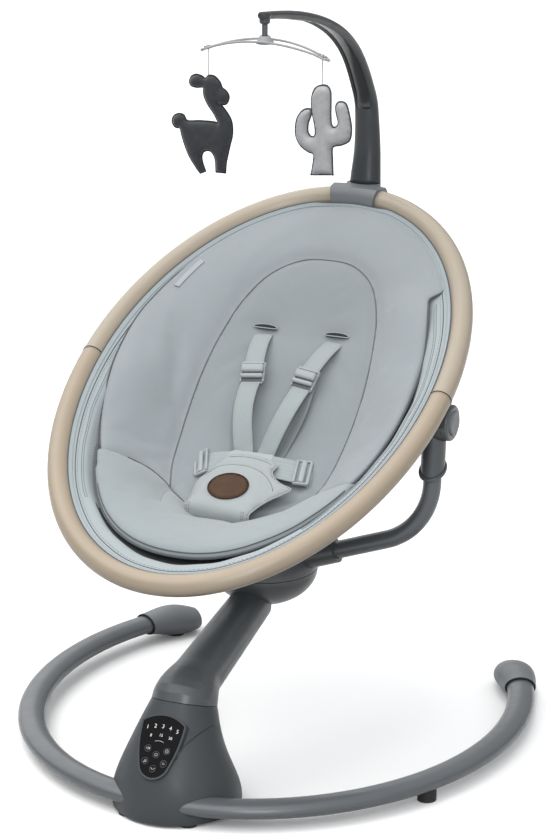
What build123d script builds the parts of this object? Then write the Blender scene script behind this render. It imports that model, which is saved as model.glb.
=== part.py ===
# Powered baby swing: C-shaped floor tube, conical drive housing, swing arm, hub,
# support tube, tilted oval seat ring with padded bucket and harness, toy bar.
# Millimetres. +Z up, floor at z = 0, front (control panel, foot end) towards -Y.
from build123d import *
import math
import os

os.makedirs("parts", exist_ok=True)


def sind(a):
    return math.sin(math.radians(a))


def cosd(a):
    return math.cos(math.radians(a))


# ---------------------------------------------------------------- dimensions
# floor tube, a C-shaped ellipse seen from above
base_rx = 300.0
base_ry = 342.0
base_y = 39.0
base_z = 24.0
tube_w = 34.0
tube_h = 22.0
tube_wall = 2.0
cap_start = 27.4          # ellipse parameter where the caps begin, degrees
pad_r = 11.5
pad_u = -27.8             # ellipse parameter of the pads under the tubes

# drive housing
housing_sections = [      # height, centre y, radius
    (4.0, -250.0, 76.5),
    (30.0, -252.5, 74.0),
    (60.0, -253.5, 63.0),
    (90.0, -246.6, 51.0),
]
housing_wall = 3.0
seam_y = -228.0
seam_z = 120.0
seam_r = 39.0
axis_tilt = 20.0          # swing axis leans back from the vertical
seam_gap = 0.8
shaft_r = 7.0
bush_r = 10.0
run_gap = 0.05
cover_r = 73.0
inlet_turn = 17.5         # direction of the power inlet from straight back, degrees

# control panel
panel_y = -301.5
panel_z = 86.0
panel_tilt = 35.5
panel_t = 1.8
key_r = 4.6
key_gap = 0.35
key_spots = [(-12.2, 1.5), (12.2, 1.5), (0.0, -4.5), (-11.9, -13.6), (11.9, -13.6), (0.0, -21.3)]

# swing arm: an elbow that fans about a line behind the seam, then a straight run
elbow_y = -180.1
elbow_z = 102.6
elbow_far = 51.0          # distance of the seam centre from the fan line
elbow_near = 38.6
elbow_steps = 8
arm_up = 14.8             # slope of the straight run
arm_r = 30.0
arm_end_r = 25.6
arm_tip_r = 19.0
arm_end_y = -30.0
arm_wall = 4.0

# hub under the seat
hub_y = -3.0
hub_z = 216.0
hub_r = 66.0
hub_low = 46.0
hub_flat = 43.0           # depth of the flat bottom
hub_inner_flat = 39.5
hub_high = 50.0
hub_wall = 3.0

# support tube, in a plane that leans back a little
lean = -4.0
sup_y = -3.0
sup_z = 235.0
sup_x = 216.7
sup_slope = 19.4
sup_mid = -19.5
sup_r = 11.0
sup_wall = 1.8
sup_bend = 83.0
sup_mid_bend = 60.0
sup_end = 162.0

# seat ring
seat_tilt = 28.8
seat_y = -7.2
seat_z = 459.7
ring_a = 230.6
ring_head = 330.0
ring_foot = 343.0
ring_r = 13.0
ring_wall = 2.5
ring_seam = 0.06          # degrees left open at each seam

# recline pivots, below the ring at each side: socket hub, lug of the ring, head of the pin
pivot_v = -0.5
pivot_w = -38.4
pin_r = 5.0
hub_in = 211.0
hub_out = 222.0
lug_in = 222.4
lug_out = 231.4
head_in = 231.8
head_floor = 234.0
head_out = 240.5
hub_disc_r = 22.0
button_r = 15.0
button_in = 236.7
button_out = 243.0
socket_r = 14.6
rim_r = 16.9
rim_h = 4.5
rim_at = 129.4            # height of the socket's rim along the support plane

# bucket, sections parallel to the ring plane: depth, half width, half length, centre
sling_sections = [
    (-2.0, 215.0, 317.0, -10.0),
    (-20.0, 206.0, 266.0, -26.0),
    (-45.0, 190.0, 208.5, -43.5),
    (-75.0, 160.0, 144.0, -69.0),
    (-102.0, 112.0, 80.0, -95.0),
    (-118.0, 60.0, 37.5, -107.5),
]
sling_t = 3.0
insert_gap = 0.8
insert_cut = [
    (2.0, 190.0, 294.0, -6.5),
    (-10.0, 180.0, 236.0, -28.0),
    (-30.0, 161.0, 178.0, -47.0),
    (-56.0, 130.0, 116.0, -72.0),
    (-78.0, 85.0, 60.0, -96.0),
    (-90.0, 40.0, 25.0, -107.5),
]

# harness
web_w = 25.0
web_t = 1.8
pad_tilt = 3.0

# toy bar
clamp_r = 18.5
clamp_u = 8.0
arm_path = [              # y, z, direction above horizontal (towards -Y), width, thickness
    (307.2, 633.0, 96.5, 41.0, 30.0),
    (313.1, 680.3, 92.7, 34.4, 27.2),
    (309.6, 727.7, 78.4, 31.0, 25.2),
    (288.1, 771.1, 57.8, 29.7, 23.4),
    (258.3, 808.2, 44.6, 28.5, 20.9),
    (220.3, 836.5, 29.6, 27.0, 18.3),
    (177.2, 856.6, 21.0, 24.2, 15.5),
    (132.1, 871.3, 15.5, 20.5, 13.1),
    (85.8, 882.3, 11.5, 16.7, 11.3),
    (39.0, 890.5, 8.7, 13.4, 9.9),
    (-8.0, 897.0, 7.2, 11.0, 9.0),
]
mobile_y = 0.0
rod_r = 3.5
bow_z = 869.0
bow_drop = 18.0
bow_half = 84.0
toy_x = 73.5
string_r = 0.6
toy_t = 20.0
llama = [
    (-78.5, 816.6), (-73.7, 817.5), (-68.2, 815.5), (-62.6, 809.4), (-60.3, 803.8), (-55.5, 800.6),
    (-51.9, 795.8), (-51.9, 789.9), (-55.6, 784.5), (-60.4, 783.8), (-63.6, 784.6), (-58.0, 779.2),
    (-52.5, 772.4), (-48.6, 765.4), (-47.0, 756.7), (-47.5, 746.4), (-50.3, 735.9), (-53.2, 723.9),
    (-55.5, 713.3), (-56.5, 701.4), (-68.9, 701.4), (-69.3, 713.5), (-71.2, 720.7), (-75.1, 725.5),
    (-80.0, 726.6), (-84.8, 724.7), (-87.6, 720.0), (-87.0, 711.9), (-82.9, 701.1), (-89.8, 698.0),
    (-97.8, 707.9), (-105.0, 719.1), (-110.5, 731.9), (-113.7, 742.0), (-116.3, 750.6), (-120.8, 750.5),
    (-125.3, 754.0), (-126.4, 759.4), (-123.9, 764.7), (-117.4, 767.9), (-111.0, 766.6), (-106.5, 760.3),
    (-90.1, 761.5), (-72.5, 761.8), (-66.1, 760.9), (-67.7, 765.9), (-72.4, 773.6), (-78.8, 781.8),
    (-83.2, 790.2), (-84.7, 797.4), (-85.0, 802.5), (-94.6, 801.7), (-101.0, 803.4), (-103.0, 808.3),
    (-100.1, 814.4), (-93.7, 817.1), (-86.5, 815.5), (-82.5, 812.9),
]
cactus = [
    (68.2, 816.6), (75.1, 816.4), (79.0, 811.0), (79.8, 802.5), (79.7, 780.9), (80.8, 770.9),
    (84.2, 767.9), (88.5, 770.8), (89.3, 776.0), (86.9, 784.4), (86.1, 792.9), (89.1, 798.2),
    (94.5, 799.1), (99.1, 796.9), (102.2, 788.6), (105.0, 775.9), (106.0, 765.9), (103.6, 754.2),
    (94.1, 748.2), (82.5, 744.3), (82.1, 730.5), (82.7, 711.6), (55.1, 709.0), (57.3, 720.9),
    (58.2, 733.4), (50.7, 736.3), (41.3, 742.7), (35.8, 752.4), (34.7, 763.9), (37.3, 775.8),
    (43.5, 784.3), (49.7, 787.2), (54.4, 786.6), (54.4, 780.1), (51.3, 771.2), (50.3, 762.4),
    (52.2, 756.8), (56.1, 754.2), (59.9, 756.8), (59.6, 767.6), (56.7, 780.3), (55.1, 793.2),
    (56.3, 804.8), (60.5, 813.0),
]
toy_shift_x = 4.8
toy_shift_z = 3.4

# ---------------------------------------------------------------- frames
seam_axis = (0.0, sind(axis_tilt), cosd(axis_tilt))
seam_plane = Plane(origin=(0, seam_y, seam_z), x_dir=(1, 0, 0), z_dir=seam_axis)
panel_plane = Plane(origin=(0, panel_y, panel_z), x_dir=(1, 0, 0),
                    z_dir=(0, -cosd(panel_tilt), sind(panel_tilt)))
support_plane = Plane(origin=(0, sup_y, sup_z), x_dir=(1, 0, 0),
                      z_dir=(0, -cosd(lean), -sind(lean)))
seat_plane = Plane(origin=(0, seat_y, seat_z), x_dir=(1, 0, 0),
                   z_dir=(0, -sind(seat_tilt), cosd(seat_tilt)))
pivot_y = seat_y + pivot_v * cosd(seat_tilt) - pivot_w * sind(seat_tilt)
pivot_z = seat_z + pivot_v * sind(seat_tilt) + pivot_w * cosd(seat_tilt)
base_plane = Plane.XY.offset(base_z)
hub_plane = Plane(origin=(0, hub_y, hub_z), x_dir=(1, 0, 0), z_dir=(0, -1, 0))
hub_axis = Axis((0, hub_y, 0), (0, 0, 1))


def seat_point(x, v, w):
    return (x, seat_y + v * cosd(seat_tilt) - w * sind(seat_tilt),
            seat_z + v * sind(seat_tilt) + w * cosd(seat_tilt))


def floor_section(u, z):
    x = base_rx * cosd(u)
    y = base_y + base_ry * sind(u)
    tx, ty = -base_rx * sind(u), base_ry * cosd(u)
    n = math.hypot(tx, ty)
    return Plane(origin=(x, y, z), x_dir=(ty / n, -tx / n, 0), z_dir=(tx / n, ty / n, 0))


def tilted(y, z, up):
    return Plane(origin=(0, y, z), x_dir=(1, 0, 0), z_dir=(0, cosd(up), sind(up)))


def arm_section(y, z, up):
    return Plane(origin=(0, y, z), x_dir=(1, 0, 0), z_dir=(0, -cosd(up), sind(up)))


def panel_outline():
    with BuildLine() as edge:
        ThreePointArc((-26, 33), (0, 42), (26, 33))
        ThreePointArc((26, 33), (23.6, 5), (17.5, -18))
        ThreePointArc((17.5, -18), (0, -32), (-17.5, -18))
        ThreePointArc((-17.5, -18), (-23.6, 5), (-26, 33))
    make_face(edge.edges())


def support_path():
    cx = sup_x - sup_bend
    corner = sup_mid + sup_x * math.tan(math.radians(sup_slope))
    cs = corner + sup_bend * math.tan(math.radians((90 - sup_slope) / 2))
    sweep_a = 90 - sup_slope
    ex, es = cx + sup_bend * cosd(sweep_a), cs - sup_bend * sind(sweep_a)
    ms = sup_mid + sup_mid_bend / cosd(sup_slope)
    mx, my = sup_mid_bend * sind(sup_slope), ms - sup_mid_bend * cosd(sup_slope)
    Line((sup_x, sup_end), (sup_x, cs))
    CenterArc((cx, cs), sup_bend, 0, -sweep_a)
    Line((ex, es), (mx, my))
    CenterArc((0, ms), sup_mid_bend, -90 + sup_slope, -2 * sup_slope)
    Line((-mx, my), (-ex, es))
    CenterArc((-cx, cs), sup_bend, -90 - sup_slope, -sweep_a)
    Line((-sup_x, cs), (-sup_x, sup_end))


support_start = Plane(origin=support_plane.from_local_coords((sup_x, sup_end, 0)),
                      x_dir=(1, 0, 0), z_dir=(0, sind(lean), -cosd(lean)))

# ---------------------------------------------------------------- floor tubes
with BuildPart() as base_tube_right:
    with BuildLine(base_plane):
        EllipticalCenterArc((0, base_y), base_rx, base_ry, start_angle=-89.9, arc_size=(cap_start) - (-89.9))
    with BuildSketch(floor_section(-89.9, base_z)):
        Ellipse(tube_w / 2, tube_h / 2)
        Ellipse(tube_w / 2 - tube_wall, tube_h / 2 - tube_wall, mode=Mode.SUBTRACT)
    sweep()
base_tube_right.part.label = "base_tube_right"
export_step(base_tube_right.part, "parts/base_tube_right.step")

with BuildPart() as base_tube_left:
    add(mirror(base_tube_right.part, about=Plane.YZ))
base_tube_left.part.label = "base_tube_left"
export_step(base_tube_left.part, "parts/base_tube_left.step")

# outer shape of both tubes near the housing and pads, used for cutting only
with BuildPart() as tube_tunnel:
    with BuildLine(base_plane):
        EllipticalCenterArc((0, base_y), base_rx, base_ry, start_angle=-115, arc_size=(-65) - (-115))
    with BuildSketch(floor_section(-115, base_z)):
        Ellipse(tube_w / 2 + 0.25, tube_h / 2 + 0.25)
    sweep()

with BuildPart() as tube_core:
    with BuildLine(base_plane):
        EllipticalCenterArc((0, base_y), base_rx, base_ry, start_angle=pad_u - 6, arc_size=(pad_u + 6) - (pad_u - 6))
    with BuildSketch(floor_section(pad_u - 6, base_z)):
        Ellipse(tube_w / 2, tube_h / 2)
    sweep()

with BuildPart() as tube_joiner:
    with BuildLine(base_plane):
        EllipticalCenterArc((0, base_y), base_rx, base_ry, start_angle=-96, arc_size=(-84) - (-96))
    with BuildSketch(floor_section(-96, base_z)):
        Ellipse(tube_w / 2 - tube_wall - 0.3, tube_h / 2 - tube_wall - 0.3)
    sweep()
tube_joiner.part.label = "tube_joiner"
export_step(tube_joiner.part, "parts/tube_joiner.step")

# ---------------------------------------------------------------- foot caps
cap_sections = [          # degrees past the tube end, height, half width, half height
    (0.05, 24.0, 19.8, 13.8),
    (3.2, 22.8, 22.0, 16.6),
    (7.6, 20.4, 25.0, 20.0),
    (11.4, 17.8, 24.0, 17.4),
    (14.2, 16.2, 17.0, 13.0),
]

with BuildPart() as foot_cap_right:
    for du, z, hw, hh in cap_sections:
        with BuildSketch(floor_section(cap_start + du, z)):
            Ellipse(hw, hh)
    loft()
    fillet(foot_cap_right.faces().sort_by(Axis.Y)[-1].edges(), radius=5)
    with BuildSketch(Plane.XY.offset(-5)):
        with Locations((250, 230)):
            Rectangle(200, 200)
    extrude(amount=6.2, mode=Mode.SUBTRACT)
    with BuildSketch(floor_section(cap_start, base_z)):
        Ellipse(tube_w / 2 - tube_wall - 0.5, tube_h / 2 - tube_wall - 0.5)
    extrude(amount=-12)
    with BuildSketch(floor_section(cap_start, base_z)):
        Ellipse(tube_w / 2 - tube_wall - 0.5, tube_h / 2 - tube_wall - 0.5)
    extrude(amount=4)
foot_cap_right.part.label = "foot_cap_right"
export_step(foot_cap_right.part, "parts/foot_cap_right.step")

with BuildPart() as foot_cap_left:
    for du, z, hw, hh in cap_sections:
        with BuildSketch(floor_section(180 - cap_start - du, z)):
            Ellipse(hw, hh)
    loft()
    fillet(foot_cap_left.faces().sort_by(Axis.Y)[-1].edges(), radius=5)
    with BuildSketch(Plane.XY.offset(-5)):
        with Locations((-250, 230)):
            Rectangle(200, 200)
    extrude(amount=6.2, mode=Mode.SUBTRACT)
    with BuildSketch(floor_section(180 - cap_start, base_z)):
        Ellipse(tube_w / 2 - tube_wall - 0.5, tube_h / 2 - tube_wall - 0.5)
    extrude(amount=12)
    with BuildSketch(floor_section(180 - cap_start, base_z)):
        Ellipse(tube_w / 2 - tube_wall - 0.5, tube_h / 2 - tube_wall - 0.5)
    extrude(amount=-4)
foot_cap_left.part.label = "foot_cap_left"
export_step(foot_cap_left.part, "parts/foot_cap_left.step")

cap_mid = floor_section(cap_start + 8.4, 0).origin
pad_spot = floor_section(pad_u, 0).origin
with BuildPart() as floor_pads:
    with Locations((pad_spot.X, pad_spot.Y, 0), (-pad_spot.X, pad_spot.Y, 0)):
        Cylinder(pad_r, 18, align=(Align.CENTER, Align.CENTER, Align.MIN))
    add(tube_core.part, mode=Mode.SUBTRACT)
    add(mirror(tube_core.part, about=Plane.YZ), mode=Mode.SUBTRACT)
    with Locations((cap_mid.X, cap_mid.Y, 0), (-cap_mid.X, cap_mid.Y, 0)):
        Cylinder(12, 1.2, align=(Align.CENTER, Align.CENTER, Align.MIN))
floor_pads.part.label = "floor_pads"
export_step(floor_pads.part, "parts/floor_pads.step")

# ---------------------------------------------------------------- drive housing
post_spots = [(-55, -232), (55, -232), (0, -193)]
standoff_spots = [(-15, 24), (15, 24), (-13, -14), (13, -14)]
inlet_dir = (sind(inlet_turn), cosd(inlet_turn), 0)
inlet_plane = Plane(origin=(inlet_dir[0] * 56, -251.5 + inlet_dir[1] * 56, 22), x_dir=(0, 0, 1), z_dir=inlet_dir)

with BuildPart() as housing_void:
    with BuildSketch(Plane.XY.offset(3.5)):
        with Locations((0, -250)):
            Circle(cover_r + 0.3)
    with BuildSketch(Plane.XY.offset(30)):
        with Locations((0, -252.5)):
            Circle(74 - housing_wall)
    with BuildSketch(Plane.XY.offset(60)):
        with Locations((0, -253.5)):
            Circle(63 - housing_wall)
    with BuildSketch(Plane.XY.offset(88)):
        with Locations((0, -247)):
            Circle(52 - housing_wall)
    with BuildSketch(seam_plane.offset(-5)):
        Circle(seam_r - housing_wall)
    loft()
    with BuildSketch(Plane.XY.offset(7)):
        with Locations(*post_spots):
            Circle(5)
    extrude(amount=120, mode=Mode.SUBTRACT)
    with BuildSketch(seam_plane):
        Circle(14)
    extrude(amount=-58, mode=Mode.SUBTRACT)
    with BuildSketch(panel_plane):
        with Locations(*standoff_spots):
            Circle(2.5)
    extrude(amount=-11, mode=Mode.SUBTRACT)

with BuildPart() as base_housing:
    for z, yc, r in housing_sections:
        with BuildSketch(Plane.XY.offset(z)):
            with Locations((0, yc)):
                Circle(r)
    with BuildSketch(seam_plane.offset(-seam_gap / 2)):
        Circle(seam_r)
    loft()
    with BuildSketch(panel_plane.offset(-14)):
        panel_outline()
        offset(amount=2.4)
    extrude(amount=14)
    add(housing_void.part, mode=Mode.SUBTRACT)
    with BuildSketch(panel_plane):
        panel_outline()
        offset(amount=0.2)
    extrude(amount=-2.0, mode=Mode.SUBTRACT)
    with BuildSketch(panel_plane):
        with Locations(*key_spots):
            Circle(key_r + 0.5)
    extrude(amount=-3.3, mode=Mode.SUBTRACT)
    with BuildSketch(seam_plane):
        Circle(bush_r)
    extrude(amount=-60, mode=Mode.SUBTRACT)
    add(tube_tunnel.part, mode=Mode.SUBTRACT)
    with BuildSketch(inlet_plane):
        Circle(6)
    extrude(amount=40, mode=Mode.SUBTRACT)
    with BuildSketch(Plane.XY.offset(6)):
        with Locations(*post_spots):
            Circle(2)
    extrude(amount=17, mode=Mode.SUBTRACT)
base_housing.part.label = "base_housing"
export_step(base_housing.part, "parts/base_housing.step")

with BuildPart() as base_bottom_cover:
    with BuildSketch(Plane.XY.offset(4)):
        with Locations((0, -250)):
            Circle(cover_r)
        with Locations(*post_spots):
            Circle(2.1, mode=Mode.SUBTRACT)
    extrude(amount=3)
base_bottom_cover.part.label = "base_bottom_cover"
export_step(base_bottom_cover.part, "parts/base_bottom_cover.step")

with BuildPart() as base_screws:
    with BuildSketch(Plane.XY.offset(4)):
        with Locations(*post_spots):
            Circle(1.9)
    extrude(amount=17)
    with BuildSketch(Plane.XY.offset(1.8)):
        with Locations(*post_spots):
            Circle(4)
    extrude(amount=2.2)
base_screws.part.label = "base_screws"
export_step(base_screws.part, "parts/base_screws.step")

with BuildPart() as housing_pads:
    with BuildSketch(Plane.XY):
        with Locations((-52, -210), (52, -210), (-40, -302), (40, -302)):
            Circle(10)
    extrude(amount=4)
housing_pads.part.label = "housing_pads"
export_step(housing_pads.part, "parts/housing_pads.step")

with BuildPart() as control_panel:
    with BuildSketch(panel_plane.offset(-2.0)):
        panel_outline()
        with Locations(*key_spots):
            Circle(key_r + key_gap, mode=Mode.SUBTRACT)
    extrude(amount=panel_t)
control_panel.part.label = "control_panel"
export_step(control_panel.part, "parts/control_panel.step")

with BuildPart() as panel_key_volume:
    with BuildSketch(panel_plane.offset(-2.2)):
        with Locations(key_spots[0]):
            Circle(key_r)
    extrude(amount=2.0)
panel_key_volume.part.label = "panel_key_volume"
export_step(panel_key_volume.part, "parts/panel_key_volume.step")

with BuildPart() as panel_key_timer:
    with BuildSketch(panel_plane.offset(-2.2)):
        with Locations(key_spots[1]):
            Circle(key_r)
    extrude(amount=2.0)
panel_key_timer.part.label = "panel_key_timer"
export_step(panel_key_timer.part, "parts/panel_key_timer.step")

with BuildPart() as panel_key_power:
    with BuildSketch(panel_plane.offset(-2.2)):
        with Locations(key_spots[2]):
            Circle(key_r)
    extrude(amount=2.0)
panel_key_power.part.label = "panel_key_power"
export_step(panel_key_power.part, "parts/panel_key_power.step")

with BuildPart() as panel_key_music:
    with BuildSketch(panel_plane.offset(-2.2)):
        with Locations(key_spots[3]):
            Circle(key_r)
    extrude(amount=2.0)
panel_key_music.part.label = "panel_key_music"
export_step(panel_key_music.part, "parts/panel_key_music.step")

with BuildPart() as panel_key_speed:
    with BuildSketch(panel_plane.offset(-2.2)):
        with Locations(key_spots[4]):
            Circle(key_r)
    extrude(amount=2.0)
panel_key_speed.part.label = "panel_key_speed"
export_step(panel_key_speed.part, "parts/panel_key_speed.step")

with BuildPart() as panel_key_motion:
    with BuildSketch(panel_plane.offset(-2.2)):
        with Locations(key_spots[5]):
            Circle(key_r)
    extrude(amount=2.0)
panel_key_motion.part.label = "panel_key_motion"
export_step(panel_key_motion.part, "parts/panel_key_motion.step")

with BuildPart() as main_board:
    with BuildSketch(panel_plane.offset(-12.6)):
        with Locations((0, 5)):
            Rectangle(36, 50)
    extrude(amount=1.6)
    with BuildSketch(panel_plane.offset(-12.6)):
        with Locations((0, 14)):
            Rectangle(14, 14)
        with Locations((-9, -8), (9, -8)):
            Rectangle(8, 5)
    extrude(amount=-2.0)
main_board.part.label = "main_board"
export_step(main_board.part, "parts/main_board.step")

with BuildPart() as speaker:
    with BuildSketch(Plane.XY.offset(7)):
        with Locations((-34, -207)):
            Circle(17)
    extrude(amount=5)
    with BuildSketch(Plane.XY.offset(12)):
        with Locations((-34, -207)):
            Circle(9)
    extrude(amount=7)
speaker.part.label = "speaker"
export_step(speaker.part, "parts/speaker.step")

with BuildPart() as dc_inlet:
    with BuildSketch(inlet_plane):
        Circle(6)
    extrude(amount=18)
    with BuildSketch(inlet_plane.offset(8)):
        Circle(2.75)
    extrude(amount=12, mode=Mode.SUBTRACT)
dc_inlet.part.label = "dc_inlet"
export_step(dc_inlet.part, "parts/dc_inlet.step")

# ---------------------------------------------------------------- drive
with BuildPart() as shaft_bushes:
    with BuildSketch(seam_plane.offset(-1.2)):
        Circle(bush_r)
        Circle(shaft_r + run_gap, mode=Mode.SUBTRACT)
    extrude(amount=-12)
    with BuildSketch(seam_plane.offset(-46)):
        Circle(bush_r)
        Circle(shaft_r + run_gap, mode=Mode.SUBTRACT)
    extrude(amount=-12)
shaft_bushes.part.label = "shaft_bushes"
export_step(shaft_bushes.part, "parts/shaft_bushes.step")

with BuildPart() as swing_shaft:
    with BuildSketch(seam_plane.offset(-67)):
        Circle(shaft_r)
    extrude(amount=67 + 26)
swing_shaft.part.label = "swing_shaft"
export_step(swing_shaft.part, "parts/swing_shaft.step")

lever_reach = 34.0
with BuildPart() as magnet_lever:
    with BuildSketch(seam_plane.offset(-59)):
        Circle(12)
        with Locations((0, lever_reach / 2)):
            Rectangle(14, lever_reach)
        with Locations((0, lever_reach)):
            Circle(8)
        Circle(shaft_r, mode=Mode.SUBTRACT)
    extrude(amount=-6)
magnet_lever.part.label = "magnet_lever"
export_step(magnet_lever.part, "parts/magnet_lever.step")

with BuildPart() as drive_magnet:
    with BuildSketch(seam_plane.offset(-65)):
        with Locations((0, lever_reach)):
            Circle(7.5)
    extrude(amount=-6)
drive_magnet.part.label = "drive_magnet"
export_step(drive_magnet.part, "parts/drive_magnet.step")

with BuildPart() as coil_core:
    with BuildSketch(seam_plane.offset(-74)):
        with Locations((0, lever_reach)):
            Circle(6)
    extrude(amount=-60)
    with BuildSketch(Plane.XY.offset(7)):
        with Locations((0, -240)):
            Rectangle(160, 160)
    extrude(amount=-80, mode=Mode.SUBTRACT)
coil_core.part.label = "coil_core"
export_step(coil_core.part, "parts/coil_core.step")

with BuildPart() as drive_coil:
    with BuildSketch(seam_plane.offset(-75)):
        with Locations((0, lever_reach)):
            Circle(15)
            Circle(6, mode=Mode.SUBTRACT)
    extrude(amount=-15)
drive_coil.part.label = "drive_coil"
export_step(drive_coil.part, "parts/drive_coil.step")

# ---------------------------------------------------------------- hub solids
with BuildPart() as hub_bowl:
    with BuildSketch(hub_plane):
        with BuildLine():
            a0 = math.degrees(math.asin(hub_flat / hub_low))
            EllipticalCenterArc((0, -0.4), hub_r, hub_low, start_angle=-a0, arc_size=(0) - (-a0))
            Polyline((hub_r, -0.4), (0, -0.4), (0, -0.4 - hub_flat), (hub_r * cosd(a0), -0.4 - hub_flat))
        make_face()
    revolve(axis=hub_axis)

with BuildPart() as support_solid:
    with BuildLine(support_plane):
        support_path()
    with BuildSketch(support_start):
        Circle(sup_r)
    sweep()

with BuildPart() as hub_lower_shell:
    add(hub_bowl.part)
    with BuildSketch(hub_plane):
        with BuildLine():
            a1 = math.degrees(math.asin(hub_inner_flat / (hub_low - hub_wall)))
            EllipticalCenterArc((0, -0.4), hub_r - hub_wall, hub_low - hub_wall, start_angle=-a1, arc_size=(0) - (-a1))
            Polyline((hub_r - hub_wall, -0.4), (0, -0.4), (0, -0.4 - hub_inner_flat), ((hub_r - hub_wall) * cosd(a1), -0.4 - hub_inner_flat))
        make_face()
    revolve(axis=hub_axis, mode=Mode.SUBTRACT)
    add(support_solid.part, mode=Mode.SUBTRACT)
hub_lower_shell.part.label = "hub_lower_shell"
export_step(hub_lower_shell.part, "parts/hub_lower_shell.step")

with BuildPart() as hub_upper_shell:
    with BuildSketch(hub_plane):
        with BuildLine():
            a2 = math.degrees(math.asin(46.0 / hub_high))
            EllipticalCenterArc((0, 0.4), hub_r, hub_high, start_angle=0, arc_size=(a2) - (0))
            Polyline((hub_r * cosd(a2), 46.4), (0, 46.4), (0, 0.4), (hub_r, 0.4))
        make_face()
    revolve(axis=hub_axis)
    for side in (1, -1):
        with BuildSketch(Plane(origin=support_plane.from_local_coords((side * 40, sup_mid + 40 * math.tan(math.radians(sup_slope)), 0)),
                               x_dir=(0, 1, 0),
                               z_dir=(side * cosd(sup_slope), -sind(sup_slope) * sind(lean), sind(sup_slope) * cosd(lean)))):
            Circle(15.5)
        extrude(amount=60)
    with BuildSketch(hub_plane):
        with BuildLine():
            a3 = math.degrees(math.asin(42.5 / (hub_high - hub_wall)))
            EllipticalCenterArc((0, 0.4), hub_r - hub_wall, hub_high - hub_wall, start_angle=0, arc_size=(a3) - (0))
            Polyline(((hub_r - hub_wall) * cosd(a3), 42.9), (0, 42.9), (0, 0.4), (hub_r - hub_wall, 0.4))
        make_face()
    revolve(axis=hub_axis, mode=Mode.SUBTRACT)
    add(support_solid.part, mode=Mode.SUBTRACT)
    with BuildSketch(Plane.XY.offset(hub_z + 0.4)):
        with Locations((0, hub_y)):
            Rectangle(300, 300)
    extrude(amount=-80, mode=Mode.SUBTRACT)
hub_upper_shell.part.label = "hub_upper_shell"
export_step(hub_upper_shell.part, "parts/hub_upper_shell.step")

with BuildPart() as support_tube:
    with BuildLine(support_plane):
        support_path()
    with BuildSketch(support_start):
        Circle(sup_r)
        Circle(sup_r - sup_wall, mode=Mode.SUBTRACT)
    sweep()
support_tube.part.label = "support_tube"
export_step(support_tube.part, "parts/support_tube.step")

with BuildPart() as hub_clamp:
    with BuildSketch(Plane.XY.offset(hub_z - 0.4 - hub_inner_flat)):
        with Locations((0, hub_y)):
            Rectangle(30, 34)
    extrude(amount=hub_inner_flat + 10)
    add(support_solid.part, mode=Mode.SUBTRACT)
    with BuildSketch(Plane.XY.offset(hub_z + 4)):
        with Locations((0, hub_y)):
            Rectangle(60, 60)
    extrude(amount=60, mode=Mode.SUBTRACT)
hub_clamp.part.label = "hub_clamp"
export_step(hub_clamp.part, "parts/hub_clamp.step")

# ---------------------------------------------------------------- swing arm
elbow = []                # plane and radius of each elbow section
for i in range(elbow_steps + 1):
    t = i / elbow_steps
    e = t * t * (3 - 2 * t)
    up = 90 - axis_tilt + (arm_up - 90 + axis_tilt) * t
    dist = elbow_far + (elbow_near - elbow_far) * e
    elbow.append((tilted(elbow_y - dist * sind(up), elbow_z + dist * cosd(up), up),
                  seam_r + (arm_r - seam_r) * e))
run_y = elbow[-1][0].origin.Y
run_z = elbow[-1][0].origin.Z
run_len = (arm_end_y - run_y) / cosd(arm_up)
arm_end = tilted(arm_end_y, run_z + run_len * sind(arm_up), arm_up)
void_end = tilted(arm_end_y - 60, run_z + (run_len - 60 / cosd(arm_up)) * sind(arm_up), arm_up)

outer_run = [(seam_plane.offset(seam_gap / 2), seam_r)] + elbow[1:] + [(arm_end.offset(-9), arm_end_r), (arm_end.offset(-3), arm_end_r - 2.4), (arm_end, arm_tip_r)]
inner_run = [(plane, r - arm_wall) for plane, r in elbow[1:]] + [(void_end, arm_end_r - arm_wall)]

with BuildPart() as arm_void:
    for first, second in zip(inner_run[:-1], inner_run[1:]):
        for plane, r in (first, second):
            with BuildSketch(plane):
                Circle(r)
        loft()

with BuildPart() as arm_shell:
    for first, second in zip(outer_run[:-1], outer_run[1:]):
        for plane, r in (first, second):
            with BuildSketch(plane):
                Circle(r)
        loft()
    add(arm_void.part, mode=Mode.SUBTRACT)
    with BuildSketch(seam_plane.offset(seam_gap / 2)):
        Circle(13)
    extrude(amount=26.5)
    with BuildSketch(seam_plane):
        Circle(shaft_r)
    extrude(amount=26, mode=Mode.SUBTRACT)
    add(hub_bowl.part, mode=Mode.SUBTRACT)
arm_shell.part.label = "arm_shell"
export_step(arm_shell.part, "parts/arm_shell.step")

# ---------------------------------------------------------------- recline pivots
socket_plane = Plane(origin=support_plane.from_local_coords((sup_x, rim_at - 16, 0)),
                     x_dir=(1, 0, 0), z_dir=(0, -sind(lean), cosd(lean)))
rim_plane = Plane(origin=support_plane.from_local_coords((sup_x, rim_at, 0)),
                  x_dir=(1, 0, 0), z_dir=(0, -sind(seat_tilt), cosd(seat_tilt)))
pivot_plane = Plane(origin=(0, pivot_y, pivot_z), x_dir=(0, 1, 0), z_dir=(1, 0, 0))
socket_len = (pivot_z - socket_plane.origin.Z) / cosd(lean)

with BuildPart() as socket_rim:
    with BuildSketch(socket_plane):
        Circle(rim_r)
    extrude(amount=40)
    split(bisect_by=rim_plane, keep=Keep.TOP)
    split(bisect_by=rim_plane.offset(rim_h), keep=Keep.BOTTOM)
    fillet(socket_rim.edges(), radius=1.4)

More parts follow.
